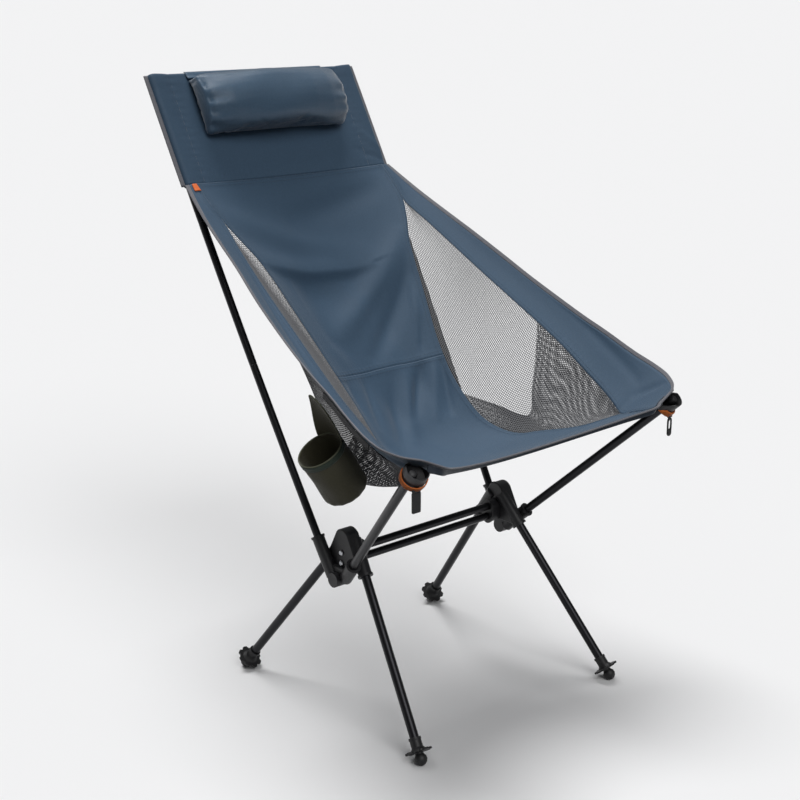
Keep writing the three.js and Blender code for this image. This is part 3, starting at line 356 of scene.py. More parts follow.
def crisp_copy(node, material, edge, sharp=32):
    mesh = merged(node)
    bmesh.ops.dissolve_limit(
        mesh, angle_limit=math.radians(1), verts=mesh.verts, edges=mesh.edges, delimit=set(),
    )
    made = piece(f"{node}_finished", mesh, material, body_of(node), [node])
    bevel = made.modifiers.new("soft_edges", "BEVEL")
    bevel.width = edge
    bevel.segments = 2
    bevel.limit_method = "ANGLE"
    bevel.angle_limit = math.radians(sharp)
    bevel.harden_normals = True
    weighted = made.modifiers.new("even_shading", "WEIGHTED_NORMAL")
    weighted.keep_sharp = True
    return made


for side in sides:
    crisp_copy(f"hub_{side}", nylon, 0.0007)
    crisp_copy(f"upright_tip_{side}", nylon, 0.0004)
    crisp_copy(f"seat_pole_tip_{side}", nylon, 0.0004)
    for end in ends:
        crisp_copy(f"foot_{end}_{side}", foot_plastic, 0.0005)
    for part in ("upper", "lower"):
        crisp_copy(f"crossbar_screw_{part}_{side}", steel, 0.0002)
        smooth_copy(f"ferrule_{part}_{side}", steel)
    for end in ends:
        smooth_copy(f"leg_cord_{end}_{side}", black_webbing)
    smooth_copy(f"upright_cord_{side}", black_webbing)
print("mouldings finished")

# %% [markdown]
# Each cloth panel in the frame is a thin closed sheet whose corners lie in rows. One face of it
# is read back as a table of rows, and a smooth curve through them gives as fine a surface as the
# folds need. Neighbouring panels share their seam, so they still meet after this.

# %% Reading a panel back as rows
cloth_thickness = 0.0015
rim_tolerance = 0.000006


def skin_rows(node, facing, thickness=cloth_thickness):
    """One face of a sheet; a triangle of its rim has an edge as long as the sheet is thick."""
    mesh = merged(node)
    is_rim = {
        face: any(abs(edge.calc_length() - thickness) < rim_tolerance for edge in face.edges)
        for face in mesh.faces
    }
    inner_faces = [face for face in mesh.faces if not is_rim[face]]
    seed = max(inner_faces, key=lambda face: face.normal.dot(facing) * face.calc_area())
    found, waiting = {seed}, [seed]
    while waiting:
        for edge in waiting.pop().edges:
            for face in edge.link_faces:
                if face not in found and not is_rim[face]:
                    found.add(face)
                    waiting.append(face)
    rest = [face for face in mesh.faces if face not in found]
    bmesh.ops.delete(mesh, geom=rest, context="FACES")
    corners = {vertex for vertex in mesh.verts if vertex.is_boundary and len(vertex.link_edges) <= 3}
    start = next(vertex for vertex in mesh.verts if vertex in corners)
    loop, edge = [start], next(edge for edge in start.link_edges if edge.is_boundary)
    while True:
        vertex = edge.other_vert(loop[-1])
        if vertex is start:
            break
        loop.append(vertex)
        edge = next(other for other in vertex.link_edges if other.is_boundary and other is not edge)
    turns = [i for i, vertex in enumerate(loop) if vertex in corners]
    row = loop[: turns[1] + 1]
    left = [loop[0]] + loop[:turns[-1] - 1:-1]
    rows, used = [row], set(row)
    for first in left[1:]:
        line = [first]
        for k in range(1, len(row)):
            above, beside, before = rows[-1][k], line[-1], rows[-1][k - 1]
            shared = {e.other_vert(above) for e in above.link_edges}
            shared &= {e.other_vert(beside) for e in beside.link_edges}
            line.append(next(v for v in shared if v is not before and v not in used and v not in line))
        used.update(line)
        rows.append(line)
    table = np.array([[tuple(vertex.co) for vertex in line] for line in rows])
    mesh.free()
    return table


def oriented(table, down, across):
    """Turns a table so that rows follow down and columns follow across."""
    down, across = np.array(down, float), np.array(across, float)
    along_rows = abs((table[-1] - table[0]).mean(0) @ down)
    along_columns = abs((table[:, -1] - table[:, 0]).mean(0) @ down)
    if along_columns > along_rows:
        table = table.transpose(1, 0, 2)
    if (table[-1] - table[0]).mean(0) @ down < 0:
        table = table[::-1]
    if (table[:, -1] - table[:, 0]).mean(0) @ across < 0:
        table = table[:, ::-1]
    return table


print("cloth is read back at a thickness of", cloth_thickness * 1000, "mm")

# %% [markdown]
# A table of a few rows becomes a fine cloth surface with a spline in both directions. The same
# weights serve every panel. Each fine point also gets its place on the flat cut cloth in metres,
# and this is the UV map that the weave and the net follow.

# %% From rows to cloth
seam_closing = 0.0004


def spline_weights(count, fine):
    weights = np.zeros((fine, count))
    for i, place in enumerate(np.linspace(0, count - 1, fine)):
        k = min(int(place), count - 2)
        t = place - k
        shares = (
            (-t + 2 * t**2 - t**3) / 2, (2 - 5 * t**2 + 3 * t**3) / 2,
            (t + 4 * t**2 - 3 * t**3) / 2, (t**3 - t**2) / 2,
        )
        for j, share in zip(range(k - 1, k + 3), shares):
            weights[i, min(max(j, 0), count - 1)] += share
    return weights


def refine(table, rows, columns):
    down = spline_weights(table.shape[0], rows)
    across = spline_weights(table.shape[1], columns)
    return np.einsum("ij,jkc,lk->ilc", down, table, across)


def flat_places(points):
    """Across and down on the cut cloth, in metres, for each point of a surface."""
    across = np.zeros(points.shape[:2])
    across[:, 1:] = np.cumsum(np.linalg.norm(np.diff(points, axis=1), axis=2), axis=1)
    steps = np.linalg.norm(np.diff(points, axis=0), axis=2).mean(1)
    down = np.concatenate([[0], np.cumsum(steps)])[:, None] + np.zeros(points.shape[1])
    return np.stack([across, down], axis=2)


def surface_normals(points, facing):
    down, across = np.gradient(points, axis=0), np.gradient(points, axis=1)
    normals = np.cross(across, down)
    normals /= np.linalg.norm(normals, axis=2)[:, :, None] + 1e-12
    return normals if (normals @ np.array(facing)).sum() > 0 else -normals


def grid_mesh(points, flat, facing):
    rows, columns = points.shape[:2]
    mesh = bmesh.new()
    bmesh.ops.create_grid(mesh, x_segments=columns - 1, y_segments=rows - 1, size=0.5)
    weave = mesh.loops.layers.uv.new("weave")
    for i, vertex in enumerate(mesh.verts):
        vertex.co = points[i // columns, i % columns]
    for face in mesh.faces:
        for loop in face.loops:
            i = loop.vert.index
            loop[weave].uv = flat[i // columns, i % columns]
    mesh.normal_update()
    if sum((face.normal for face in mesh.faces), Vector()).dot(Vector(facing)) < 0:
        bmesh.ops.reverse_faces(mesh, faces=mesh.faces)
    return mesh


def declare_sheet(points):
    flat = flat_places(points)


def thicken(made, thickness, offset=-1):
    wall = made.modifiers.new("thickness", "SOLIDIFY")
    wall.thickness = thickness
    wall.offset = offset


# %% [markdown]
# The photograph shows where the hanging cloth folds: soft diagonal ridges on the back, short
# upright folds beside the waist seam, and small puckers where thread draws the seams in. Each
# fold is a smooth wave along a line from one place of the panel to another.

# %% Folds and puckers
fold_start, fold_run = 0.12, 0.76
wander_waves = ((0.6, 83, 0), (0.9, 37, 2))
welt_blur = 0.08
welt_groove, welt_groove_width = 0.5, 0.15


def fold(flat, start, end, width, depth, lean=1.0):
    """Height of one fold over the panel: places are shares of its width and length.

    The fold is lean times as wide on its right-hand side, as seen along it from above.
    """
    size = flat.reshape(-1, 2).max(0)
    a, b = np.array(start) * size, np.array(end) * size
    along, off = b - a, flat - a
    t = np.clip((off @ along) / (along @ along), 0, 1)
    away = np.linalg.norm(off - t[:, :, None] * along, axis=2)
    right = along[0] * off[:, :, 1] - along[1] * off[:, :, 0] > 0
    taper = np.sin(np.pi * np.clip(fold_start + fold_run * t, 0, 1))
    return depth * taper * np.exp(-((away / (width * np.where(right, lean, 1))) ** 2))


def puckers(distance, along, pitch, reach, depth):
    wander = sum(size * np.sin(along * rate + shift) for size, rate, shift in wander_waves)
    return depth * np.sin(math.tau * along / pitch + wander) * np.exp(-distance / reach)


def welt(distance, width, height):
    """A seam allowance that lies folded under the cloth lifts a band along the edge."""
    plateau = 1 / (1 + np.exp((distance - width) / (width * welt_blur)))
    groove = welt_groove * np.exp(-distance / (width * welt_groove_width))
    return height * (plateau - groove)


seam_width = 0.009
seam_height = 0.0007
stitches = {}


def add_stitches(body, material, slot, line, normals, length=0.0026, gap=0.0011, thickness=0.00028):
    """Remembers one row of stitches; they are all made at the end, one piece for each thread."""
    row = (np.array(line), np.array(normals), length, gap, thickness)
    stitches.setdefault((body, material.name, slot), []).append(row)


def inside_line(points, flat, normals, edge, distance):
    """A line that runs at one distance inside one edge of a surface."""
    rows, columns = points.shape[:2]
    line, ups = [], []
    if edge in ("left", "right"):
        for i in range(rows):
            across = flat[i, :, 0] if edge == "left" else flat[i, -1, 0] - flat[i, :, 0]
            order = range(columns) if edge == "left" else range(columns - 1, -1, -1)
            found = [np.interp(distance, across[list(order)], points[i, list(order), c]) for c in range(3)]
            if across.max() > 2.5 * distance:
                line.append(found)
                ups.append(normals[i, 0 if edge == "left" else -1])
    else:
        for j in range(columns):
            down = flat[:, j, 1] if edge == "top" else flat[-1, j, 1] - flat[:, j, 1]
            order = range(rows) if edge == "top" else range(rows - 1, -1, -1)
            line.append([np.interp(distance, down[list(order)], points[list(order), j, c]) for c in range(3)])
            ups.append(normals[0 if edge == "top" else -1, j])
    return line, ups


# %% [markdown]
# Back and seat are one length of cloth with a seam at the waist. The side bands are narrow
# panels between net and binding. They sag in a long hollow because the binding carries the load.

# %% Back, seat and bands
down_the_sling = (0.0, -0.8, -0.6)
up_and_in = (0.0, -0.35, 1.0)
cell = 0.0035
fewest_columns = 12
fewest_stitch_stations = 4
seam_softening = 0.012
pucker_pitch, pucker_reach, pucker_depth = 0.0085, 0.012, 0.00035
stitch_places = (seam_width * 0.3, seam_width * 0.85)
tables = {}


def panel_points(node, facing):
    table = oriented(skin_rows(node, Vector(facing)), down_the_sling, (1, 0, 0)).copy()
    tables[node] = table
    for edge, inner in ((0, 1), (-1, -2)):
        for lines in (table, table.transpose(1, 0, 2)):
            step = lines[edge] - lines[inner]
            size = np.linalg.norm(step, axis=1)[:, None] + 1e-9
            lines[edge] += step / size * np.minimum(seam_closing, size)
    flat = flat_places(table)
    rows = int(flat[-1, 0, 1] / cell)
    columns = int(max(flat[:, -1, 0].mean() / cell, fewest_columns))
    return refine(table, rows, columns)


def edge_distances(flat):
    across, whole = flat[:, :, 0], flat[:, -1:, 0]
    down, length = flat[:, :, 1], flat[-1, 0, 1]
    return across, whole - across, down, length - down


def make_panel(node, facing, folds, welts):
    points = panel_points(node, facing)
    flat = flat_places(points)
    normals = surface_normals(points, facing)
    distances = dict(zip(("left", "right", "top", "bottom"), edge_distances(flat)))
    height = sum(fold(flat, *values) for values in folds)
    height = height * (1 - np.exp(-np.minimum.reduce(list(distances.values())) / seam_softening))
    for edge in welts:
        along = flat[:, :, 0] if edge in ("top", "bottom") else flat[:, :, 1]
        height = height + welt(distances[edge], seam_width, seam_height)
        height = height + puckers(distances[edge], along, pucker_pitch, pucker_reach, pucker_depth)
    points = points + normals * height[:, :, None]
    mesh = grid_mesh(points, flat, facing)
    made = piece(f"{node}_cloth", mesh, sling_cloth, body_of(node), [node])
    thicken(made, cloth_thickness)
    declare_sheet(points)
    for edge in welts:
        for distance in stitch_places:
            line, ups = inside_line(points, flat, normals, edge, distance)
            if len(line) > fewest_stitch_stations:
                add_stitches(body_of(node), blue_thread, "sling_cloth", line, ups)
    return points, flat, normals


back_folds = [
    ((0.88, 0.13), (0.42, 0.19), 0.024, -0.0075),
    ((0.04, 0.20), (0.62, 0.40), 0.032, 0.0085),
    ((0.02, 0.46), (0.60, 0.49), 0.030, 0.0095, 0.35),
    ((0.14, 0.58), (0.42, 0.60), 0.045, -0.0090),
    ((0.84, 0.42), (0.22, 0.80), 0.021, 0.0100),
    ((0.80, 0.55), (0.32, 0.94), 0.015, -0.0085),
    ((0.72, 0.64), (0.56, 0.90), 0.008, 0.0035),
    ((0.62, 0.82), (0.53, 0.97), 0.006, -0.0035),
    ((0.12, 0.84), (0.14, 0.98), 0.020, 0.0030),
]
seat_folds = [
    ((0.40, 0.01), (0.26, 0.25), 0.010, -0.0075),
    ((0.47, 0.01), (0.39, 0.27), 0.007, -0.0060),
    ((0.44, 0.01), (0.33, 0.28), 0.009, 0.0045),
    ((0.26, 0.07), (0.13, 0.38), 0.015, -0.0055),
    ((0.33, 0.03), (0.20, 0.36), 0.012, 0.0040),
    ((0.05, 0.02), (0.03, 0.20), 0.010, -0.0040),
    ((0.15, 0.02), (0.08, 0.26), 0.009, -0.0035),
    ((0.97, 0.34), (0.80, 0.60), 0.014, -0.0045),
    ((0.03, 0.34), (0.20, 0.60), 0.014, -0.0045),
]
all_edges = ("left", "right", "top", "bottom")
make_panel("back_panel", up_and_in, back_folds, all_edges)
make_panel("seat_panel", up_and_in, seat_folds, ("left", "right", "top"))
bands = {}
for side, sign in sides.items():
    middle_share = 0.5 + 0.12 * sign
    band_folds = [
        ((middle_share, 0.10), (middle_share, 0.88), 0.010, -0.0055),
        ((middle_share - 0.2, 0.90), (middle_share + 0.2, 0.96), 0.008, -0.0035),
    ]
    seams = ("right" if side == "left" else "left",)
    bands[side] = make_panel(f"side_band_{side}", up_and_in, band_folds, seams)
print("cloth panels made")

# %% [markdown]
# The net is real geometry: a square grid of flat threads. Its grid is laid on the flat cut of the
# panel and carried to the hanging surface, so the squares keep their size everywhere. Each cell is
# inset and its middle taken out, which leaves flat threads, and Solidify gives them a thickness.

# %% Net sides
net_pitch = 0.0035
net_thread_width = 0.0014
pocket_thread_width = 0.0021
net_thickness = 0.0004
net_step = 0.006
net_belly = 0.006
net_columns = 7
apex_row, tip_row = 2, 22
rim_share, merge_share = 0.02, 0.05


def carried_grid(points, flat, pitch, facing):
    """A square grid over the flat outline, moved onto the surface; outside points go to its rim."""
    rows, columns = points.shape[:2]
    flat3 = np.concatenate([flat, np.zeros((rows, columns, 1))], axis=2).reshape(-1, 3)
    spatial = [Vector(place) for place in points.reshape(-1, 3)]
    corners = [Vector(place) for place in flat3]
    faces = []
    for i in range(rows - 1):
        for j in range(columns - 1):
            k = i * columns + j
            faces += [(k, k + 1, k + columns + 1), (k, k + columns + 1, k + columns)]
    tree = BVHTree.FromPolygons(corners, faces)
    low, high = flat3.min(0), flat3.max(0)
    across, down = (int(math.ceil((high[axis] - low[axis]) / pitch)) for axis in (0, 1))
    mesh = bmesh.new()
    bmesh.ops.create_grid(mesh, x_segments=across, y_segments=down, size=0.5)
    outside = {}
    for i, vertex in enumerate(mesh.verts):
        place = Vector((low[0] + (i % (across + 1)) * pitch, low[1] + (i // (across + 1)) * pitch, 0))
        found, _, index, distance = tree.find_nearest(place)
        outside[vertex] = distance
        on_the_flat = (corners[k] for k in faces[index])
        in_the_sling = (spatial[k] for k in faces[index])
        vertex.co = barycentric_transform(found, *on_the_flat, *in_the_sling)
    gone = [face for face in mesh.faces if min(outside[v] for v in face.verts) > pitch * rim_share]
    bmesh.ops.delete(mesh, geom=gone, context="FACES")
    bmesh.ops.remove_doubles(mesh, verts=mesh.verts, dist=pitch * merge_share)
    mesh.normal_update()
    if sum((face.normal for face in mesh.faces), Vector()).dot(Vector(facing)) < 0:
        bmesh.ops.reverse_faces(mesh, faces=mesh.faces)
    return mesh


def net_piece(node, points, facing, material, thread_width):
    flat = flat_places(points)
    mesh = carried_grid(points, flat, net_pitch, facing)
    holes = bmesh.ops.inset_individual(
        mesh, faces=mesh.faces[:], thickness=thread_width / 2, use_even_offset=False,
    )
    threads = set(holes["faces"])
    bmesh.ops.delete(mesh, geom=[face for face in mesh.faces if face not in threads], context="FACES_ONLY")
    made = piece(f"{node}_net", mesh, material, body_of(node), [node])
    thicken(made, net_thickness, 0)
    print(made.name, "thread faces", len(made.data.polygons))
    declare_sheet(points)


def net_between_seams(side, sign):
    """The net hangs from the seat's seam to the band's seam, with a slight belly outwards."""
    edge = -1 if sign > 0 else 0
    seat_seam = np.concatenate([tables["back_panel"][apex_row:, edge], tables["seat_panel"][1:, edge]])
    band_seam = tables[f"side_band_{side}"][apex_row:, -1 - edge]
    rows = tip_row - apex_row + 1
    near, far = seat_seam[:rows], band_seam[:rows]
    across = np.linspace(0, 1, net_columns)[None, :, None]
    span = far - near
    width = np.linalg.norm(span, axis=1)
    outwards = np.stack([sign * span[:, 2], np.zeros(rows), -np.abs(span[:, 0])], axis=1)
    outwards /= np.linalg.norm(outwards, axis=1)[:, None] + 1e-9
    belly = np.minimum(net_belly, width / 4)[:, None, None] * 4 * across * (1 - across)
    return near[:, None] * (1 - across) + far[:, None] * across + outwards[:, None] * belly


def net_points(table):
    width, length = flat_places(table).reshape(-1, 2).max(0)
    return refine(table, int(length / net_step), int(width / net_step))


for side, sign in sides.items():
    facing = (-0.6 * sign, -0.4, 0.7)
    seams = [f"side_band_{side}_cloth", "seat_panel_cloth"]
    points = net_points(net_between_seams(side, sign))
    net_piece(f"side_mesh_{side}", points, facing, net_thread, net_thread_width)
    table = oriented(skin_rows(f"side_pocket_{side}", Vector(facing)), down_the_sling, (sign, 0, 0))
    net_piece(f"side_pocket_{side}", net_points(table), facing, dark_net_thread, pocket_thread_width)
print("nets made")

# %% [markdown]
# The headrest is one cloth that lies flat in the middle and folds round both poles, with a row of
# stitches beside each pole. Its outer edges are bound with the same ribbed tape as the sling.

# %% Headrest
hub_height, head_height, shoulder_height = 0.251, 0.980, 0.808
root_y, head_y = -0.0575, 0.3655
pole_root_x, head_straight_x, head_bow = 0.190, 0.227, 0.0195
head_slack = 0.003
sleeve_radius = 0.00785
sleeve_depth = 0.030
head_up = Vector((0, head_y - root_y, head_height - hub_height)).normalized()
head_out = Vector((1, 0, 0)).cross(head_up)
pole_rise = head_height - hub_height
shoulder_y = root_y + (head_y - root_y) * (shoulder_height - hub_height) / pole_rise
shoulder = Vector((0, shoulder_y, shoulder_height))
headrest_height = (head_height - shoulder_height) / head_up.z
stitch_groove, stitch_groove_width = 0.0008, 0.0018
head_pucker_depth = 0.0003
sleeve_pucker_pitch, sleeve_pucker_reach = 0.013, 0.012
lower_pucker_pitch, lower_pucker_reach = 0.011, 0.016
top_hem, top_hem_height = 0.022, 0.0005


def head_point(x, up, out):
    return shoulder + Vector((x, 0, 0)) + head_up * up + head_out * out


def pole_x(up):
    share = (shoulder_height + up * head_up.z - hub_height) / pole_rise
    return pole_root_x + (head_straight_x - pole_root_x) * share - head_bow * share**2


def even_path(path, count, smoothing=2):
    """The same path with points at even distances and slightly rounded corners."""
    path = np.array(path, float)
    run = np.concatenate([[0], np.cumsum(np.linalg.norm(np.diff(path, axis=0), axis=1))])
    places = np.linspace(0, run[-1], count)
    even = np.stack([np.interp(places, run, path[:, c]) for c in range(path.shape[1])], axis=1)
    for _ in range(smoothing):
        even[1:-1] = (even[:-2] + 2 * even[1:-1] + even[2:]) / 4
    return even


def sleeve_section(up):
    pole = pole_x(up)
    stitch = pole - sleeve_depth
    back = stitch + cloth_thickness
    half = [(0, head_slack), (stitch, head_slack)]
    half.append(((stitch + pole) / 2, (head_slack + sleeve_radius + cloth_thickness) / 2))
    for angle in np.linspace(math.pi / 2, -math.pi / 2, 13):
        half.append((pole + sleeve_radius * math.cos(angle), sleeve_radius * math.sin(angle)))
    half.append(((back + pole) / 2, -(sleeve_radius + cloth_thickness) / 2))
    half.append((back, head_slack - 2 * cloth_thickness))
    return [(-x, out) for x, out in half[:0:-1]] + half


def headrest_points(rows=58, columns=196):
    table = []
    for up in np.linspace(headrest_height, 0, rows):
        section = even_path(sleeve_section(up), columns)
        table.append([tuple(head_point(x, up, out)) for x, out in section])
    return np.array(table)


points = headrest_points()
flat = flat_places(points)
normals = surface_normals(points, head_out)
in_front = normals @ np.array(head_out) > 0.5
ups = np.linspace(headrest_height, 0, len(points))
stitch_x = np.array([pole_x(up) for up in ups]) - sleeve_depth
beside = np.abs(points[:, :, 0]) - stitch_x[:, None]
top, bottom = flat[:, :, 1], headrest_height - flat[:, :, 1]
height = -stitch_groove * np.exp(-((beside / stitch_groove_width) ** 2)) * in_front
sleeve_pucker = (sleeve_pucker_pitch, sleeve_pucker_reach, head_pucker_depth)
height += puckers(np.abs(beside), flat[:, :, 1], *sleeve_pucker) * in_front
height += puckers(bottom, flat[:, :, 0], lower_pucker_pitch, lower_pucker_reach, head_pucker_depth)
height += welt(top, top_hem, top_hem_height)
head_folds = [
    ((0.84, 0.62), (0.94, 0.95), 0.007, 0.0012),
    ((0.80, 0.80), (0.92, 0.99), 0.006, -0.0012),
    ((0.10, 0.10), (0.14, 0.60), 0.008, -0.0008),
    ((0.25, 0.97), (0.75, 0.90), 0.020, -0.0016),
    ((0.35, 0.72), (0.72, 0.80), 0.024, 0.0012),
]
height += sum(fold(flat, *values) for values in head_folds)
points = points + normals * height[:, :, None]
mesh = grid_mesh(points, flat, head_out)
headrest = piece("headrest_cloth", mesh, sling_cloth, "frame", ["headrest_panel"])
thicken(headrest, cloth_thickness * 0.8, 0)
declare_sheet(points)
for sign in sides.values():
    line = [tuple(head_point(sign * (pole_x(up) - sleeve_depth), up, head_slack + 0.0003)) for up in ups]
    add_stitches("frame", grey_thread, "sling_cloth", line, [tuple(head_out)] * len(line), thickness=0.0002)
    for up in (headrest_height - 0.003, 0.004):
        ends_x = (sign * (pole_x(up) - sleeve_depth), sign * (pole_x(up) - 0.002))
        line = [tuple(head_point(x, up, head_slack + 0.002)) for x in ends_x]
        add_stitches("frame", blue_thread, "sling_cloth", line, [tuple(head_out)] * 2)
print("headrest", len(headrest.data.polygons), "faces")

# %% [markdown]
# Bound edges are a ribbed tape folded round the cloth. Its section is round at the outer fold and
# thin at the stitched edge. One loop of points is carried along the edge.

# %% Binding tape
tape_section = [
    (0.0, 0.0), (0.03, 0.30), (0.10, 0.46), (0.28, 0.52), (0.5, 0.50),
    (0.72, 0.52), (0.90, 0.46), (1.0, 0.30), (1.0, -0.30), (0.90, -0.46),
    (0.72, -0.50), (0.5, -0.50), (0.28, -0.50), (0.10, -0.46), (0.03, -0.30),
]
tape_thickness = 0.0026
tape_width = 0.008
tape_stitch_share = 0.80
tape_seat = 0.9
head_tape_stations = 60
sling_tape_stations = 1000


def make_tape(name, outer, inner, ups, replaced=()):
    outer, inner, ups = (np.array(values, float) for values in (outer, inner, ups))
    section = np.array(tape_section + tape_section[:1])
    across = (inner - outer)[:, None]
    rise = ups[:, None] * section[None, :, 1:] * tape_thickness
    points = outer[:, None] + across * section[None, :, :1] + rise
    width = float(np.linalg.norm(inner - outer, axis=1).mean())
    run = np.concatenate([[0], np.cumsum(np.linalg.norm(np.diff(outer, axis=0), axis=1))])
    flat = np.stack(np.broadcast_arrays(section[None, :, 0] * width, run[:, None]), axis=2)
    mesh = grid_mesh(points, flat, ups.mean(0))
    bmesh.ops.remove_doubles(mesh, verts=mesh.verts, dist=weld_distance)
    rims = [edge for edge in mesh.edges if edge.is_boundary]
    bmesh.ops.holes_fill(mesh, edges=rims, sides=0)
    bmesh.ops.recalc_face_normals(mesh, faces=mesh.faces)
    return piece(name, mesh, grey_tape, "frame", replaced)


def tape_stitches(outer, inner, ups):
    line = outer + (inner - outer) * tape_stitch_share
    for way in (1, -1):
        on_the_tape = line + ups * way * tape_thickness * 0.5
        add_stitches("frame", grey_thread, "binding_tape", on_the_tape, ups * way)


for side, sign in sides.items():
    heights = np.linspace(0, headrest_height, head_tape_stations)
    edge_x = [sign * (pole_x(up) + sleeve_radius * tape_seat) for up in heights]
    inner = np.array([tuple(head_point(x, up, 0)) for x, up in zip(edge_x, heights)])
    outer = inner + np.array([sign * tape_width, 0, 0])
    ups = np.array([tuple(head_out)] * len(heights))
    make_tape(f"headrest_binding_{side}", outer, inner, ups)
    tape_stitches(outer, inner, ups)

binding_skin = skin_rows("edge_binding", Vector(up_and_in), tape_thickness)
binding_table = oriented(binding_skin, (1, 0, 0), (0, 0, -1))
if abs(binding_table[0, 0, 0]) < abs(binding_table[0, 1, 0]):
    binding_table = binding_table[:, ::-1]
fine = refine(binding_table, sling_tape_stations, 2)
outer, inner = fine[:, 0], fine[:, 1]
ups = np.cross(np.gradient(fine.mean(1), axis=0), inner - outer)
ups /= np.linalg.norm(ups, axis=1)[:, None]
ups = ups if ups[:, 2].sum() > 0 else -ups
outer, inner = outer - ups * tape_thickness / 2, inner - ups * tape_thickness / 2
make_tape("edge_binding_tape", outer, inner, ups, ["edge_binding"])
tape_stitches(outer, inner, ups)
print("binding along", len(fine), "stations")

# %% [markdown]
# The pillow is blown up by a cloth simulation from a slightly smaller copy of its solid. How far
# a point may move is capped, so that it stays within the room that its solid has.

# %% Pillow
pillow_voxel = 0.0045
pillow_shrink = (0.985, 0.93, 0.93)
pillow_reach = 0.007
pillow_fullness = (1.05, 1.06, 1.09)
pillow_pressure = 4.0
pillow_half = 0.143
pillow_drop, pillow_height = 0.0089, 0.113
pillow_back_gap = 0.004
pleat_count, pleat_depth, pleat_start, pleat_reach = 11, 0.0026, 0.004, 0.018
end_seam, end_seam_width = 0.006, 0.0030
ripple_height, ripple_rate = 0.0011, 46
pillow_weave_radius = 0.05


def blown_up(mesh, name, voxel, pressure, reach):
    data = bpy.data.meshes.new(name)
    mesh.to_mesh(data)
    mesh.free()
    soft = bpy.data.objects.new(name, data)
    bpy.context.scene.collection.objects.link(soft)
    remesh = soft.modifiers.new("even_cells", "REMESH")
    remesh.mode = "VOXEL"
    remesh.voxel_size = voxel
    remesh.use_smooth_shade = True
    graph = bpy.context.evaluated_depsgraph_get()
    even = bpy.data.meshes.new_from_object(soft.evaluated_get(graph))
    soft.modifiers.clear()
    soft.data = even
    before = np.array([tuple(vertex.co) for vertex in even.vertices])
    cloth = soft.modifiers.new("cloth", "CLOTH")
    cloth.settings.quality = 6
    cloth.settings.use_pressure = True
    cloth.settings.uniform_pressure_force = pressure
    cloth.settings.effector_weights.gravity = 0
    cloth.settings.tension_stiffness = 25
    cloth.settings.bending_stiffness = 0.6
    for frame_number in range(1, 21):
        bpy.context.scene.frame_set(frame_number)
    graph = bpy.context.evaluated_depsgraph_get()
    swollen = bpy.data.meshes.new_from_object(soft.evaluated_get(graph))
    after = np.array([tuple(vertex.co) for vertex in swollen.vertices])
    soft.modifiers.clear()
    bpy.context.scene.frame_set(1)
    step = after - before
    size = np.linalg.norm(step, axis=1)[:, None] + 1e-12
    after = before + step * np.minimum(1, reach / size)
    faces = [tuple(polygon.vertices) for polygon in even.polygons]
    bpy.data.objects.remove(soft)
    return after, faces


source = merged("pillow")
low, high = (Vector(corner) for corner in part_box("pillow"))
centre = (low + high) / 2
bmesh.ops.scale(source, vec=pillow_shrink, space=Matrix.Translation(-centre), verts=source.verts)
places, faces = blown_up(source, "pillow_soft", pillow_voxel, pillow_pressure, pillow_reach)


def in_head_frame(places):
    off = places - np.array(shoulder)
    return np.stack([off[:, 0], off @ np.array(head_up), off @ np.array(head_out)], axis=1)


pillow_middle_up = headrest_height - pillow_drop - pillow_height / 2
local = in_head_frame(places)
angle = np.arctan2(local[:, 2] - head_slack, local[:, 1] - pillow_middle_up)
from_end = pillow_half - np.abs(local[:, 0])
pleat_fade = np.exp(-np.clip(from_end - pleat_start, 0, 1) / pleat_reach)
pleats = np.sin(angle * pleat_count + 1.2 * np.sin(angle * 3)) * pleat_fade
seam_dip = -np.exp(-(((from_end - end_seam) / end_seam_width) ** 2))
around = local[:, 2] > head_slack + pillow_back_gap
push = (pleat_depth * pleats * (from_end > pleat_start) + pleat_depth * seam_dip) * around
push += ripple_height * np.sin(local[:, 0] * ripple_rate + angle * 2.3) * np.sin(angle * 2) * around
outward = np.stack([np.zeros(len(places)), np.cos(angle), np.sin(angle)], axis=1)
local = local + outward * push[:, None]
pillow_rest = np.array((0, pillow_middle_up, head_slack))
local = pillow_rest + (local - pillow_rest) * np.array(pillow_fullness)
places = (
    np.array(shoulder) + local[:, :1] * np.array((1, 0, 0))
    + local[:, 1:2] * np.array(head_up) + local[:, 2:] * np.array(head_out)
)
mesh = bmesh.new()
weave = mesh.loops.layers.uv.new("weave")
corners = [mesh.verts.new(place) for place in places]
for corner_numbers in faces:
    face = mesh.faces.new([corners[k] for k in corner_numbers])
    for loop, k in zip(face.loops, corner_numbers):
        loop[weave].uv = (local[k, 0], angle[k] * pillow_weave_radius)
pillow = piece("pillow_roll", mesh, pillow_cloth, "pillow", ["pillow"])
rounding = pillow.modifiers.new("rounding", "SUBSURF")
rounding.levels = 1
rounding.render_levels = 1
print("pillow", len(faces), "faces")

# %% [markdown]
# A narrow flap of the same cloth joins the pillow to the headrest's top edge, so that it can be
# turned over to the back.

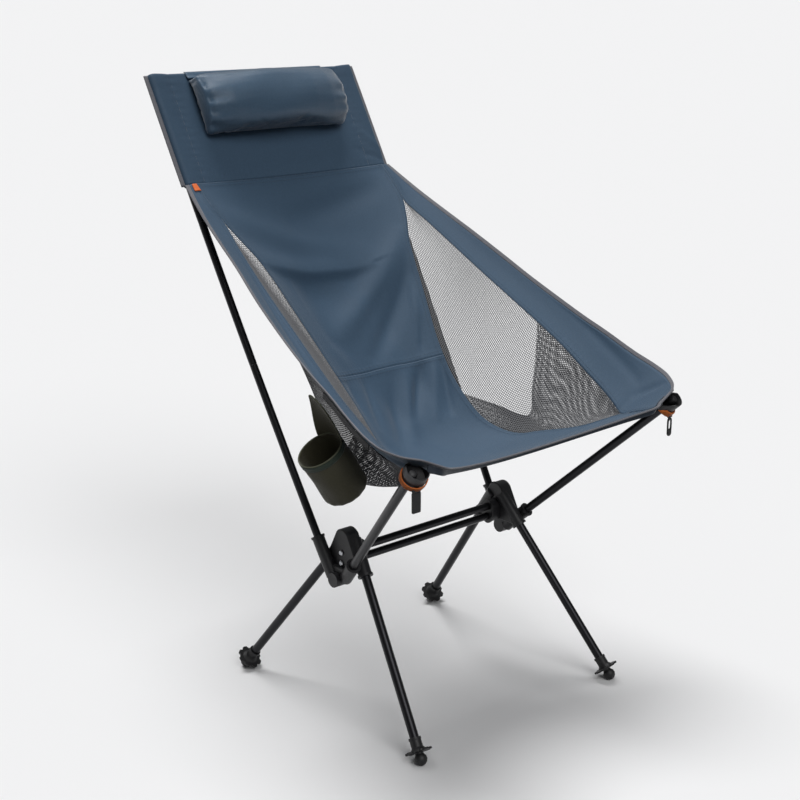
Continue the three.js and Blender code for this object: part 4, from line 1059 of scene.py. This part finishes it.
# %% Pillow flap
flap_half = 0.145
flap_rows = 8
flap_columns = 84
flap_ripple, flap_ripple_rate = 0.0003, 210
flap_stitch_drop, flap_stitch_lift = 0.0055, 0.0040
pillow_top = headrest_height - pillow_drop
flap_path = even_path([
    (pillow_top - 0.004, head_slack + 0.0065),
    (pillow_top + 0.003, head_slack + 0.0030),
    (headrest_height - 0.001, head_slack + 0.0024),
    (headrest_height + 0.0018, head_slack + 0.0012),
    (headrest_height + 0.0022, head_slack - 0.0008),
], flap_rows, 1)
points = np.array([
    [tuple(head_point(x, up, out)) for x in np.linspace(-flap_half, flap_half, flap_columns)]
    for up, out in flap_path
])
flat = flat_places(points)
normals = surface_normals(points, head_out)
towards_the_pillow = np.linspace(1, 0, flap_rows)[:, None, None]
ripple = flap_ripple * np.sin(flat[:, :, :1] * flap_ripple_rate) * towards_the_pillow
points = points + normals * ripple
mesh = grid_mesh(points, flat, head_out)
made = piece("pillow_flap_cloth", mesh, pillow_cloth, "pillow", ["pillow_flap"])
thicken(made, cloth_thickness * 0.7, 1)
declare_sheet(points)
stitch_up, stitch_out = headrest_height - flap_stitch_drop, head_slack + flap_stitch_lift
line = [tuple(head_point(x, stitch_up, stitch_out)) for x in (-flap_half, flap_half)]
add_stitches("pillow", blue_thread, "sling_cloth", line, [tuple(head_out)] * 2)

# %% [markdown]
# Hanging strips under the edge: a hem along the front, whose cloth is the sling's blue darkened as
# painted shade, and a black webbing on the left that carries the pouch.

# %% Hem and webbing
hem_reach = 0.262
hem_front_y = -0.25
hem_height = 0.0155
hem_narrowing, hem_run = 0.5, 0.05
hem_lean = 0.25
strip_row, strip_column, strip_fewest = 0.002, 0.003, 6
strip_wave, strip_wave_rate = 0.0004, 130


def make_strip(node, facing, material, down):
    table = oriented(skin_rows(node, Vector(facing)), down, (1, -1, 0))
    size = flat_places(table).reshape(-1, 2).max(0)
    rows, columns = int(size[1] / strip_row), int(size[0] / strip_column)
    points = refine(table, max(rows, strip_fewest), max(columns, strip_fewest))
    flat = flat_places(points)
    normals = surface_normals(points, facing)
    wave = strip_wave * np.sin(flat[:, :, :1] * strip_wave_rate + 1) * flat[:, :, 1:] / size[1]
    points = points + normals * wave
    made = piece(f"{node}_strip", grid_mesh(points, flat, facing), material, body_of(node), [node])
    thicken(made, cloth_thickness * 0.8)
    declare_sheet(points)


def front_hem():
    """The cloth's turned-down front, from cup to cup: it starts inside the binding and hangs from it."""
    front = [row for row in binding_table if abs(row[1, 0]) < hem_reach and row[1, 1] < hem_front_y]
    line = refine(np.array(front), 160, 2)[:, 1]
    ends = np.minimum(line[:, 0] - line[:, 0].min(), line[:, 0].max() - line[:, 0])
    drop = hem_height * (1 - hem_narrowing * (1 - np.exp(-ends / hem_run)))
    shares = np.linspace(0, 1, 7)
    down = np.stack([np.zeros(len(line)), np.full(len(line), hem_lean), np.full(len(line), -1.0)], axis=1)
    points = line[None] + shares[:, None, None] * (drop[:, None] * down)[None]
    points = points[:, ::-1] if points[0, 0, 0] > points[0, -1, 0] else points
    mesh = grid_mesh(points, flat_places(points), (0, -1, 0))
    made = piece("front_hem_strip", mesh, dark_cloth, "frame", ["front_hem"])
    thicken(made, cloth_thickness * 0.8)
    declare_sheet(points)


front_hem()
make_strip("pouch_webbing", (-1, 0, 0), black_webbing, (0, 0, -1))
print("hem and webbing made")

# %% [markdown]
# Each front corner of the sling has a moulded cup sewn under it, and the end of a seat pole stands
# in the cup. A turned barrel is the real form, so an outline is spun round the pole's own axis. Two
# flat cuts then fit it under the cloth and open its front, and a band of orange tape goes round it.

# %% Pole cups
cup_inner, cup_outer = 0.0167, 0.0185
cup_length = 0.055
cup_lip = 0.026
cup_draft = 0.0008
cup_floor, cup_floor_hole = 0.0030, 0.0015
cup_mouth_depth = 0.0004
cup_under_cloth = {"left": 0.0120, "right": 0.0150}
band_under_cup = 0.008
sling_corner = (0.2786, -0.3632, 0.5080)
cloth_lean = (-0.32, -0.19, 0.93)
opening_lean = (0.15, -0.85, 0.9)
barrel_edge, band_edge = 0.0005, 0.0004


def mirrored(place, sign):
    """A place or direction of the right side, on the side that the sign gives."""
    return Vector((place[0] * sign, place[1], place[2]))


def corner_places(node):
    return np.array([tuple(vertex.co) for vertex in nodes[node].data.vertices])


def cut_away(mesh, place, normal, close):
    """Takes off what lies beyond a plane and closes the cut."""
    bmesh.ops.bisect_plane(
        mesh, geom=mesh.verts[:] + mesh.edges[:] + mesh.faces[:], dist=weld_distance,
        plane_co=place, plane_no=normal, clear_outer=True,
    )
    rims = [edge for edge in mesh.edges if edge.is_boundary]
    if rims:
        close(mesh, edges=rims)
    bmesh.ops.recalc_face_normals(mesh, faces=mesh.faces)


def soften(made, width):
    bevel = made.modifiers.new("soft_edges", "BEVEL")
    bevel.width = width
    bevel.segments = 2
    bevel.limit_method = "ANGLE"
    bevel.angle_limit = math.radians(40)


def pole_cup(side, sign):
    """A barrel round the pole's end, cut off under the cloth and lower in front, where it is open."""
    pole = corner_places(f"seat_pole_{side}")
    way = np.linalg.svd(pole - pole.mean(0), full_matrices=False)[2][0]
    way = way if way[2] > 0 else -way
    cup = corner_places(f"pole_cup_{side}")
    rise = cup @ way
    mouth = cup[rise < rise.min() + cup_mouth_depth].mean(0)
    across = np.cross(way, (0, 0, 1))
    across /= np.linalg.norm(across)
    outline = (
        (cup_floor_hole, 0), (cup_outer, 0), (cup_outer - cup_draft, cup_length),
        (cup_inner - cup_draft, cup_length), (cup_inner, cup_floor), (cup_floor_hole, cup_floor),
    )
    mesh = bmesh.new()
    line = [mesh.verts.new(mouth + across * radius + way * height) for radius, height in outline]
    edges = [mesh.edges.new(pair) for pair in zip(line, line[1:] + line[:1])]
    bmesh.ops.spin(
        mesh, geom=line + edges, cent=mouth, axis=way, dvec=(0, 0, 0), angle=math.tau, steps=64,
        use_merge=True,
    )
    bmesh.ops.remove_doubles(mesh, verts=mesh.verts, dist=weld_distance)
    bmesh.ops.recalc_face_normals(mesh, faces=mesh.faces)
    cloth = mirrored(cloth_lean, sign).normalized()
    under = mirrored(sling_corner, sign) - cloth * cup_under_cloth[side]
    front = mirrored(opening_lean, sign).normalized()
    lip = Vector(mouth + way * cup_lip)
    cut_away(mesh, under, cloth, bmesh.ops.bridge_loops)
    cut_away(mesh, lip, front, bmesh.ops.holes_fill)
    made = piece(f"pole_cup_{side}_barrel", mesh, nylon, "frame", [f"pole_cup_{side}"])
    soften(made, barrel_edge)
    band = merged(f"cup_band_{side}")
    cut_away(band, under - cloth * band_under_cup, cloth, bmesh.ops.holes_fill)
    # The band's finish is orange tape made lighter with painted light.
    made = piece(f"cup_band_{side}_strip", band, orange_band, "frame", [f"cup_band_{side}"])
    soften(made, band_edge)


for side, sign in sides.items():
    pole_cup(side, sign)
print("cups made:", len(sides))

# %% [markdown]
# A strap hangs from the left cup and a loop from the right one, to pull the corners over the poles.
# Their own solids have the right form, so these only get soft edges. A small tab joins each of them
# to the band that it is sewn to, and it is a bevelled box because hardly any of it shows.

# %% Pull strap and pull loop
anchor_edge = 0.0004


def strap_anchor(node, rise=0.0065, sink=0.0006):
    """The pull is sewn in under the band: a short tab goes up behind it."""
    low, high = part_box(node)
    mesh = bmesh.new()
    bmesh.ops.create_cube(mesh, size=1)
    size = Vector((high[0] - low[0] - sink, high[1] - low[1] - sink, rise))
    centre = Vector(((low[0] + high[0]) / 2, (low[1] + high[1]) / 2, high[2] - sink + rise / 2))
    bmesh.ops.scale(mesh, vec=size, verts=mesh.verts)
    bmesh.ops.translate(mesh, vec=centre, verts=mesh.verts)
    bmesh.ops.bevel(
        mesh, geom=mesh.edges[:], offset=anchor_edge, offset_type="OFFSET", affect="EDGES",
        segments=2, profile=0.5, material=-1,
    )
    piece(f"{node}_anchor", mesh, black_strap, "frame")


strap_anchor("pull_strap_left")
strap_anchor("pull_loop_right")
smooth_copy("pull_strap_left", black_strap, edge=0.0005)
smooth_copy("pull_loop_right", black_strap, edge=0.0004)
print("strap and loop made")

# %% [markdown]
# A small bare tag of orange tape is sewn on below the left shoulder, beside the binding. It takes
# its place from the side band under it: a few rows and columns of that surface, lifted a little.

# %% Orange tag
tag_width = 0.0115
tag_length = 0.016
tag_drop = 0.0015
tag_lift = 0.0014
tag_thickness = 0.0005
tag_columns, tag_rows = 6, 8
band_rows = 12


def orange_tag():
    points, flat, normals = bands["left"]
    left = tape_width * 0.5
    across = np.linspace(left, left + tag_width, tag_columns)
    down = np.linspace(tag_drop, tag_drop + tag_length, tag_rows)
    lifted = points + normals * tag_lift
    rows = np.array([
        np.stack([np.interp(across, flat[i, :, 0], lifted[i, :, axis]) for axis in range(3)], axis=1)
        for i in range(band_rows)
    ])
    places = flat[:band_rows, 0, 1]
    tag = np.stack([
        np.stack([np.interp(down, places, rows[:, j, axis]) for axis in range(3)], axis=1)
        for j in range(tag_columns)
    ], axis=1)
    mesh = grid_mesh(tag, flat_places(tag), up_and_in)
    made = piece("orange_tag", mesh, orange_tape, "frame")
    thicken(made, tag_thickness, 0)
    declare_sheet(tag)


orange_tag()

# %% [markdown]
# The pouch is a cloth cup that leans outwards. Its rim is piped, a darker hem runs under it, and a
# leaf-shaped back flap with piped edges goes up to the webbing.

# %% Pouch
pouch_up = Vector((-0.55, 0.05, 0.835)).normalized()
pouch_in = (Vector((1, 0, 0)) - pouch_up * pouch_up.x).normalized()
pouch_side = pouch_up.cross(pouch_in)
pouch_rim = Vector((-0.290, -0.1735, 0.479))
pouch_radius, pouch_depth, pouch_corner = 0.0353, 0.087, 0.009
pouch_base = pouch_rim - pouch_up * pouch_depth
flap_height, flap_spread, flap_taper = 0.076, math.pi / 3.6, 0.9
piping_radius, piping_sides = 0.0011, 8
wall_dent, rim_ripple, base_gather = 0.0011, 0.0006, 0.0005
ripple_reach, gather_reach = 0.25, 0.012
base_inset = 0.0006
wall_thickness, hem_thickness, leaf_thickness = 0.0011, 0.0007, 0.0012
hem_lift, hem_top, hem_bottom = 0.0009, 0.0008, 0.0095
leaf_lift, leaf_bow, leaf_tuck = 0.0002, 0.0022, 0.004
pouch_columns = 121
pouch_weld = 0.0001


def pouch_place(angle, radius, height):
    outward = pouch_in * math.cos(angle) + pouch_side * math.sin(angle)
    return pouch_base + outward * radius + pouch_up * height


def pouch_dent(angle, height):
    """Soft hollows in the wall, ripples under the rim and gathers above the base."""
    share = height / pouch_depth
    dent = wall_dent * math.sin(3 * angle + 5 * share) * math.sin(math.pi * share)
    ripple = rim_ripple * math.sin(9 * angle + 1.5 * math.sin(6 * share))
    dent += ripple * math.exp(-(1 - share) / ripple_reach)
    dent += base_gather * math.sin(14 * angle) * math.exp(-height / gather_reach)
    return dent


def pouch_wall():
    profile = [(0.0005, base_inset), (pouch_radius - pouch_corner, base_inset)]
    for turn in np.linspace(-math.pi / 2, 0, 7):
        profile.append((
            pouch_radius - pouch_corner + pouch_corner * math.cos(turn),
            base_inset + pouch_corner + pouch_corner * math.sin(turn),
        ))
    profile.append((pouch_radius, pouch_depth))
    profile = even_path(profile, 46, 1)[::-1]
    table = []
    for radius, height in profile:
        depth_share = min(1, radius / pouch_radius)
        table.append([
            tuple(pouch_place(angle, radius + pouch_dent(angle, height) * depth_share, height))
            for angle in np.linspace(0, math.tau, pouch_columns)
        ])
    return np.array(table)


def round_cloth(name, points, facing, material, thickness, replaced=()):
    """Cloth that goes right round the pouch: its first and last columns are sewn together."""
    mesh = grid_mesh(points, flat_places(points), facing)
    bmesh.ops.remove_doubles(mesh, verts=mesh.verts, dist=pouch_weld)
    bmesh.ops.recalc_face_normals(mesh, faces=mesh.faces)
    made = piece(name, mesh, material, "drink_pouch", replaced)
    thicken(made, thickness, 0)


def make_piping(name, line, closed=False):
    line = np.array(line, float)
    if closed:
        tangents = np.roll(line, -1, 0) - np.roll(line, 1, 0)
    else:
        tangents = np.gradient(line, axis=0)
    tangents /= np.linalg.norm(tangents, axis=1)[:, None]
    mesh = bmesh.new()
    rings = []
    across = Vector(tangents[0]).orthogonal().normalized()
    for place, tangent in zip(line, tangents):
        tangent = Vector(tangent)
        across = (across - tangent * across.dot(tangent)).normalized()
        other = tangent.cross(across)
        rings.append([
            mesh.verts.new(Vector(place) + (across * math.cos(a) + other * math.sin(a)) * piping_radius)
            for a in np.arange(piping_sides) * math.tau / piping_sides
        ])
    pairs = list(zip(rings, rings[1:] + rings[:1])) if closed else list(zip(rings, rings[1:]))
    for ring, following in pairs:
        for k in range(piping_sides):
            n = (k + 1) % piping_sides
            mesh.faces.new((ring[k], ring[n], following[n], following[k]))
    if not closed:
        mesh.faces.new(rings[0][::-1])
        mesh.faces.new(rings[-1])
    bmesh.ops.recalc_face_normals(mesh, faces=mesh.faces)
    return piece(name, mesh, olive_piping, "drink_pouch")


def pouch_hem():
    return np.array([
        [
            tuple(pouch_place(angle, pouch_radius + hem_lift, pouch_depth - down))
            for angle in np.linspace(0, math.tau, pouch_columns)
        ]
        for down in np.linspace(hem_top, hem_bottom, 5)
    ])


def pouch_leaf():
    rows = []
    for share in np.linspace(0, 1, 30):
        spread = flap_spread * (1 - flap_taper * share**1.4)
        radius = pouch_radius + leaf_lift + leaf_bow * math.sin(math.pi * share)
        height = pouch_depth - leaf_tuck + (flap_height + 0.0045) * share
        angles = np.linspace(-spread, spread, 25)
        rows.append([tuple(pouch_place(angle, radius, height)) for angle in angles])
    return np.array(rows)


inwards = tuple(pouch_place(0, 1, 0) - pouch_base)
round_cloth("pouch_wall", pouch_wall(), inwards, olive_cloth, wall_thickness, ["drink_pouch"])
rim = [tuple(pouch_place(angle, pouch_radius, pouch_depth)) for angle in np.arange(96) * math.tau / 96]
make_piping("pouch_rim_piping", rim, closed=True)
round_cloth("pouch_hem", pouch_hem(), (1, 0, 0), olive_hem, hem_thickness)
leaf = pouch_leaf()
mesh = grid_mesh(leaf, flat_places(leaf), tuple(pouch_in))
made = piece("pouch_flap", mesh, olive_cloth, "drink_pouch")
thicken(made, leaf_thickness, 0)
leaf_edge = np.concatenate([leaf[2:, 0], leaf[-1, 1:], leaf[-2:1:-1, -1]])
make_piping("pouch_flap_piping", even_path(leaf_edge, 90))
declare_sheet(leaf[::-1])
print("pouch made")

# %% [markdown]
# Stitches are tiny threads that lie on the cloth. All rows of one thread become one piece, with
# a short eight-faced body for each stitch.

# %% Stitches


def make_stitches():
    for number, ((body, material, slot), rows) in enumerate(stitches.items()):
        mesh = bmesh.new()
        for line, normals, length, gap, thickness in rows:
            steps = np.linalg.norm(np.diff(line, axis=0), axis=1)
            run = np.concatenate([[0], np.cumsum(steps)])
            count = int(run[-1] / (length + gap))
            for i in range(count):
                middle = (i + 0.5) * (length + gap)
                a = Vector([np.interp(middle - length / 2, run, line[:, c]) for c in range(3)])
                b = Vector([np.interp(middle + length / 2, run, line[:, c]) for c in range(3)])
                up = Vector([np.interp(middle, run, normals[:, c]) for c in range(3)]).normalized()
                along = (b - a).normalized()
                side_way = up.cross(along).normalized()
                up = along.cross(side_way)
                turn = Matrix((along, side_way, up)).transposed().to_4x4()
                size = Matrix.Diagonal((length / 2, thickness, thickness * 0.8, 1))
                lift = Matrix.Translation((a + b) / 2 + up * thickness * 0.35)
                bmesh.ops.create_cone(
                    mesh, cap_ends=True, segments=6, radius1=1, radius2=0.6, depth=2,
                    matrix=lift @ turn @ size @ Matrix.Rotation(math.radians(90), 4, "Y"),
                )
        made = piece(f"stitches_{number}", mesh, bpy.data.materials[material], body)
        print(made.name, "on", body, len(made.data.polygons), "faces")


make_stitches()
